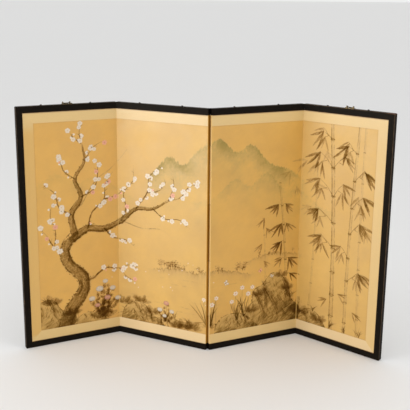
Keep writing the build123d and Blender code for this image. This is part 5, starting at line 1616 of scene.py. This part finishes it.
def kiku(cv, x, y, size, colour, tilt=0.72, tip=None):
    """A chrysanthemum head: rings of narrow petals round a small eye."""
    r = cv.rng
    turn = r.uniform(0, 1)
    cv.dot(x, y - size * 0.05, size * 0.98, ink=0.55, k=PALE, squash=tilt, rough=0.05)
    for ring, (n, R, pr) in enumerate(((18, 0.76, 0.27), (14, 0.52, 0.24), (10, 0.30, 0.19))):
        for p in range(n):
            a = turn + 2 * math.pi * p / n + ring * 0.21
            cx, cy = x + size * R * math.cos(a), y + size * R * math.sin(a) * tilt + ring * size * 0.06
            tw = math.atan2(math.sin(a) * tilt, math.cos(a))
            cv.dot(cx, cy, size * pr * 1.12, ink=0.75, squash=0.44, turn=tw, rough=0.04)
            cv.dot(cx, cy, size * pr * 0.95, colour=colour * (0.88 + 0.06 * ring), alpha=0.95, squash=0.36, turn=tw, rough=0.04)
    cv.dot(x, y + size * 0.16, size * 0.16, colour=np.array([0.62, 0.36, 0.06], np.float32), alpha=0.9, squash=0.8)


def kiku_clump(cv, heads, foot, ink=1.5, leaf=15.0):
    """Stems from the foot to the heads, leaves up the stems, heads last."""
    r = cv.rng
    stems = []
    for (x, y, size, col) in heads:
        fx, fy = foot[0] + r.normal(0, 9), foot[1]
        mid = ((fx + x) / 2 + r.normal(0, 4), (fy + y) / 2)
        cv.stroke([(fx, fy), mid, (x, y)], [2.0, 1.6, 1.1], ink=ink, rough=0.1, taper=(0, 0.05))
        stems.append(curve([(fx, fy), mid, (x, y)], 2.0))
    for st in stems:
        n = len(st)
        for k in range(max(3, int(n * 2.0 / 9))):
            f = 0.22 + 0.68 * (k + r.uniform(0, 1)) / max(3, int(n * 2.0 / 9))
            p = st[min(n - 1, int(f * n))]
            sg = 1 if (k % 2) else -1
            a = (0.35 if sg > 0 else math.pi - 0.35) + sg * r.uniform(-0.5, 0.6)
            q = p + 5.5 * np.array([math.cos(a), math.sin(a)])
            cv.stroke([p, q], 1.0, ink=ink, step=2.0)
            lobed_leaf(cv, q[0], q[1], a + r.normal(0, 0.2), leaf * r.uniform(0.75, 1.15) * (1.1 - 0.35 * f), ink * r.uniform(0.42, 1.05))
    for (x, y, size, col) in heads:
        kiku(cv, x, y, size, col)


def far_tree(cv, x, y, h, ink):
    """A small tree on the far shore, in dabs."""
    r = cv.rng
    lean = r.normal(0, 0.12)
    cv.stroke([(x, y), (x + lean * h * 0.5, y + h * 0.45), (x + lean * h, y + h * 0.8)], [1.5, 1.0, 0.5], ink=ink * 1.4, rough=0.2)
    for _ in range(int(h * 1.5)):
        f = r.uniform(0.32, 1.0)
        w = h * 0.36 * math.sin(math.pi * min(1, 1.18 - f * 0.95)) + 1
        cv.dot(x + lean * h * f + r.normal(0, w * 0.55), y + h * f, r.uniform(0.9, 2.0), ink=ink * r.uniform(0.35, 0.9), squash=0.6, turn=r.normal(0, 0.3), rough=0.3, soft=0.35)


def paint_far_shore(cv):
    """A low spit across the water with a line of trees, and reeds on its point."""
    r = cv.rng
    paint_hill(cv, 440, 900, [(420, 214), (500, 232), (580, 246), (650, 236), (720, 252), (800, 238), (880, 216), (920, 206)], 15, 0.42, k=PALE, rim=0.35)
    paint_hill(cv, 820, 1120, [(800, 262), (880, 276), (960, 292), (1040, 280), (1120, 262)], 14, 0.26, k=PALE, rim=0.2)
    for x in np.concatenate([r.uniform(500, 690, 17), r.uniform(700, 850, 9), r.uniform(880, 1060, 9)]):
        y = 236 if x < 860 else 280
        far_tree(cv, float(x), y + r.normal(0, 3), r.uniform(15, 38) * (0.75 if x > 860 else 1.0), r.uniform(0.55, 1.1) * (0.6 if x > 860 else 1.0))
    for y0, x0, x1 in ((200, 470, 720), (190, 640, 880), (178, 520, 640), (242, 900, 1080)):
        xs = np.linspace(x0, x1, 7)
        cv.stroke(np.stack([xs, y0 + r.normal(0, 1.0, 7)], 1), [0.6, 1.4, 1.0, 1.5, 0.5], ink=0.4, k=PALE, rough=0.15, dry=0.5, taper=(0.25, 0.3))


def butterfly(cv, x, y, size, turn, colour):
    ct, st = math.cos(turn), math.sin(turn)
    P = lambda a, b: (x + a * ct - b * st, y + a * st + b * ct)
    for sg in (1, -1):
        for (a, b, rr, sq, tw) in ((0.42, 0.52 * sg, 0.52, 0.66, 0.9 * sg), (-0.32, 0.40 * sg, 0.36, 0.72, -0.7 * sg)):
            cx, cy = P(a * size, b * size)
            cv.dot(cx, cy, rr * size * 1.08, ink=0.9, squash=sq, turn=turn + tw, rough=0.05)
            cv.dot(cx, cy, rr * size * 0.92, colour=colour, alpha=0.93, squash=sq, turn=turn + tw, rough=0.05)
            ex, ey = P(a * size * 1.5, b * size * 1.35)
            cv.dot(ex, ey, rr * size * 0.16, ink=1.2)
    cv.stroke([P(0.7 * size, 0), P(0, 0), P(-0.75 * size, 0)], [0.5, size * 0.17, 0.4], ink=2.0)
    for sg in (1, -1):
        cv.stroke([P(0.6 * size, 0), P(1.1 * size, 0.28 * sg * size)], 0.32, ink=1.6, taper=(0, 0.1))


def make_canvas():
    cv = Canvas()
    paint_ground(cv)
    for i, painted_light_tint in ((0, (1.12, 1.065, 0.87)), (1, (1.035, 1.05, 1.08)), (2, (1.10, 1.055, 0.87)), (3, (1.03, 1.05, 1.09))):  # painted light: each leaf's ground is tinted for the light it gets, leaves 1 and 3 warmed for the light that the facing leaves throw on them, leaves 2 and 4 a little whiter
        left = sum(window_span(k)[1] - window_span(k)[0] for k in range(i))
        a, b = window_span(i)
        c0, c1 = int(round(left / PX)), int(round((left + b - a) / PX))
        cv.img[:, c0:c1] *= np.array(painted_light_tint, np.float32)
    paint_hill(cv, 430, 1120, [(400, 560), (470, 600), (540, 668), (600, 640), (660, 700), (730, 742), (800, 690), (860, 716), (940, 640), (1020, 612), (1100, 560), (1160, 540)], 64, 0.46)
    paint_hill(cv, 620, 1250, [(600, 500), (700, 520), (790, 590), (860, 560), (930, 604), (1000, 540), (1080, 520), (1180, 470), (1260, 460)], 48, 0.17, rim=0.10)
    paint_hill(cv, -80, 420, [(-100, 520), (0, 560), (80, 600), (160, 560), (240, 580), (330, 520), (430, 480)], 50, 0.10)
    paint_far_shore(cv)
    paint_bank(cv)
    paint_plum(cv)
    paint_bamboo(cv)
    butterfly(cv, 764, 196, 11, 0.5, GOFUN)
    butterfly(cv, 912, 224, 9, 2.3, BLUSH * 1.1)
    butterfly(cv, 962, 196, 8, 1.2, GOFUN)
    # ink can only get so dark on this ground: brown, not black
    top = np.array([2.35, 2.75, 3.6], np.float32)
    g = np.array(GROUND[:3], np.float32)
    depth = -np.log(np.clip(cv.img, 1e-5, None) / g)
    cv.img = np.where(depth > 0, g * np.exp(-top * np.tanh(np.clip(depth, 0, None) / top)), cv.img).astype(np.float32)
    edge = np.minimum(np.minimum(cv.Y, CANVAS_H - cv.Y), np.minimum(cv.X, CANVAS_W - cv.X))
    line = 0.24 * np.exp(-((edge - LAP) / 2.2) ** 2)  # painted shade under the border's lapped edge, and paste browned along it
    cv.soak((0, cv.h, 0, cv.w), line.astype(np.float32), np.array([0.8, 1.0, 1.4], np.float32))
    return cv

# ------------------------------------------------------------------ putting it together
canvas = make_canvas()
border_mat = border_silk()
hinge_mats = {}
for i in range(4):
    hinge_mats[i] = hinge_side("hinge_paper.leaf_%d" % (i + 1), i, HINGE_COL, (0.60, 0.37, 0.09, 1), srgb(134, 112, 78))
# the centre fold's side faces are one paper, painted as a shaded copy on leaf 2 and a lit copy on leaf 3; the strips
# across its back are painted dark as shade
ridge_left_shaded = hinge_side("hinge_paper.ridge_left_shaded", 1, (0.52, 0.29, 0.055, 1), (0.37, 0.18, 0.014, 1), (0.30, 0.14, 0.010, 1), 0.12)
ridge_right_lit = hinge_side("hinge_paper.ridge_right_lit", 2, (0.90, 0.63, 0.26, 1), (0.95, 0.70, 0.30, 1), (0.68, 0.42, 0.13, 1))
hinge_rear_shaded = hinge_side("hinge_paper.ridge_rear_shaded", 1, (0.32, 0.115, 0.003, 1), (0.32, 0.115, 0.003, 1), (0.22, 0.075, 0.002, 1), 0.04)
hinge_silk = bridge_silk()
under_mat = washi("underpaper", srgb(226, 218, 196), srgb(205, 194, 168), srgb(238, 232, 214))
cedar = wood("core_cedar", srgb(196, 150, 104), srgb(150, 104, 66))
iron = metal("iron_nail", (0.030, 0.024, 0.019, 1), (0.013, 0.011, 0.0095, 1), 0.50, (0.09, 0.07, 0.05, 1), 0.7)
brass = metal("hanger_brass", (0.20, 0.145, 0.07, 1), (0.055, 0.038, 0.02, 1), 0.34, (0.50, 0.41, 0.26, 1))

for i in range(4):
    leaf = "leaf_%d" % (i + 1)
    make_painting(i, canvas, painted_silk(i))
    make_borders(i, border_mat)
    rail = lacquer(i, False)
    make_frame(i, rail, lacquer(i, True) if i in (0, 3) else None)
    paint_node(leaf + "_frame_nails", iron)
    make_back(i, back_paper(i))
    for side in ("front", "back"):
        paint_node(leaf + "_underpaper_" + side, under_mat)
    for part in ("core_frame", "lattice_uprights", "lattice_crossbars"):
        paint_node(leaf + "_" + part, cedar)
for fold, a, b in (("1_2", 1, 2), ("2_3", 2, 3), ("3_4", 3, 4)):
    paint_node("hinge_paper_%s_on_leaf_%d" % (fold, a), ridge_left_shaded if fold == "2_3" else hinge_mats[a - 1])
    paint_node("hinge_paper_%s_on_leaf_%d" % (fold, b), ridge_right_lit if fold == "2_3" else hinge_mats[b - 1])
for side in ("left", "right"):
    paint_node("hanger_plate_" + side, brass)
    paint_node("hanging_bail_" + side, brass)
    paint_node("hanger_screws_" + side, iron)
# the strips across the centre fold's back carry the painted-shade material
make_hinges(hinge_silk, hinge_rear_shaded)
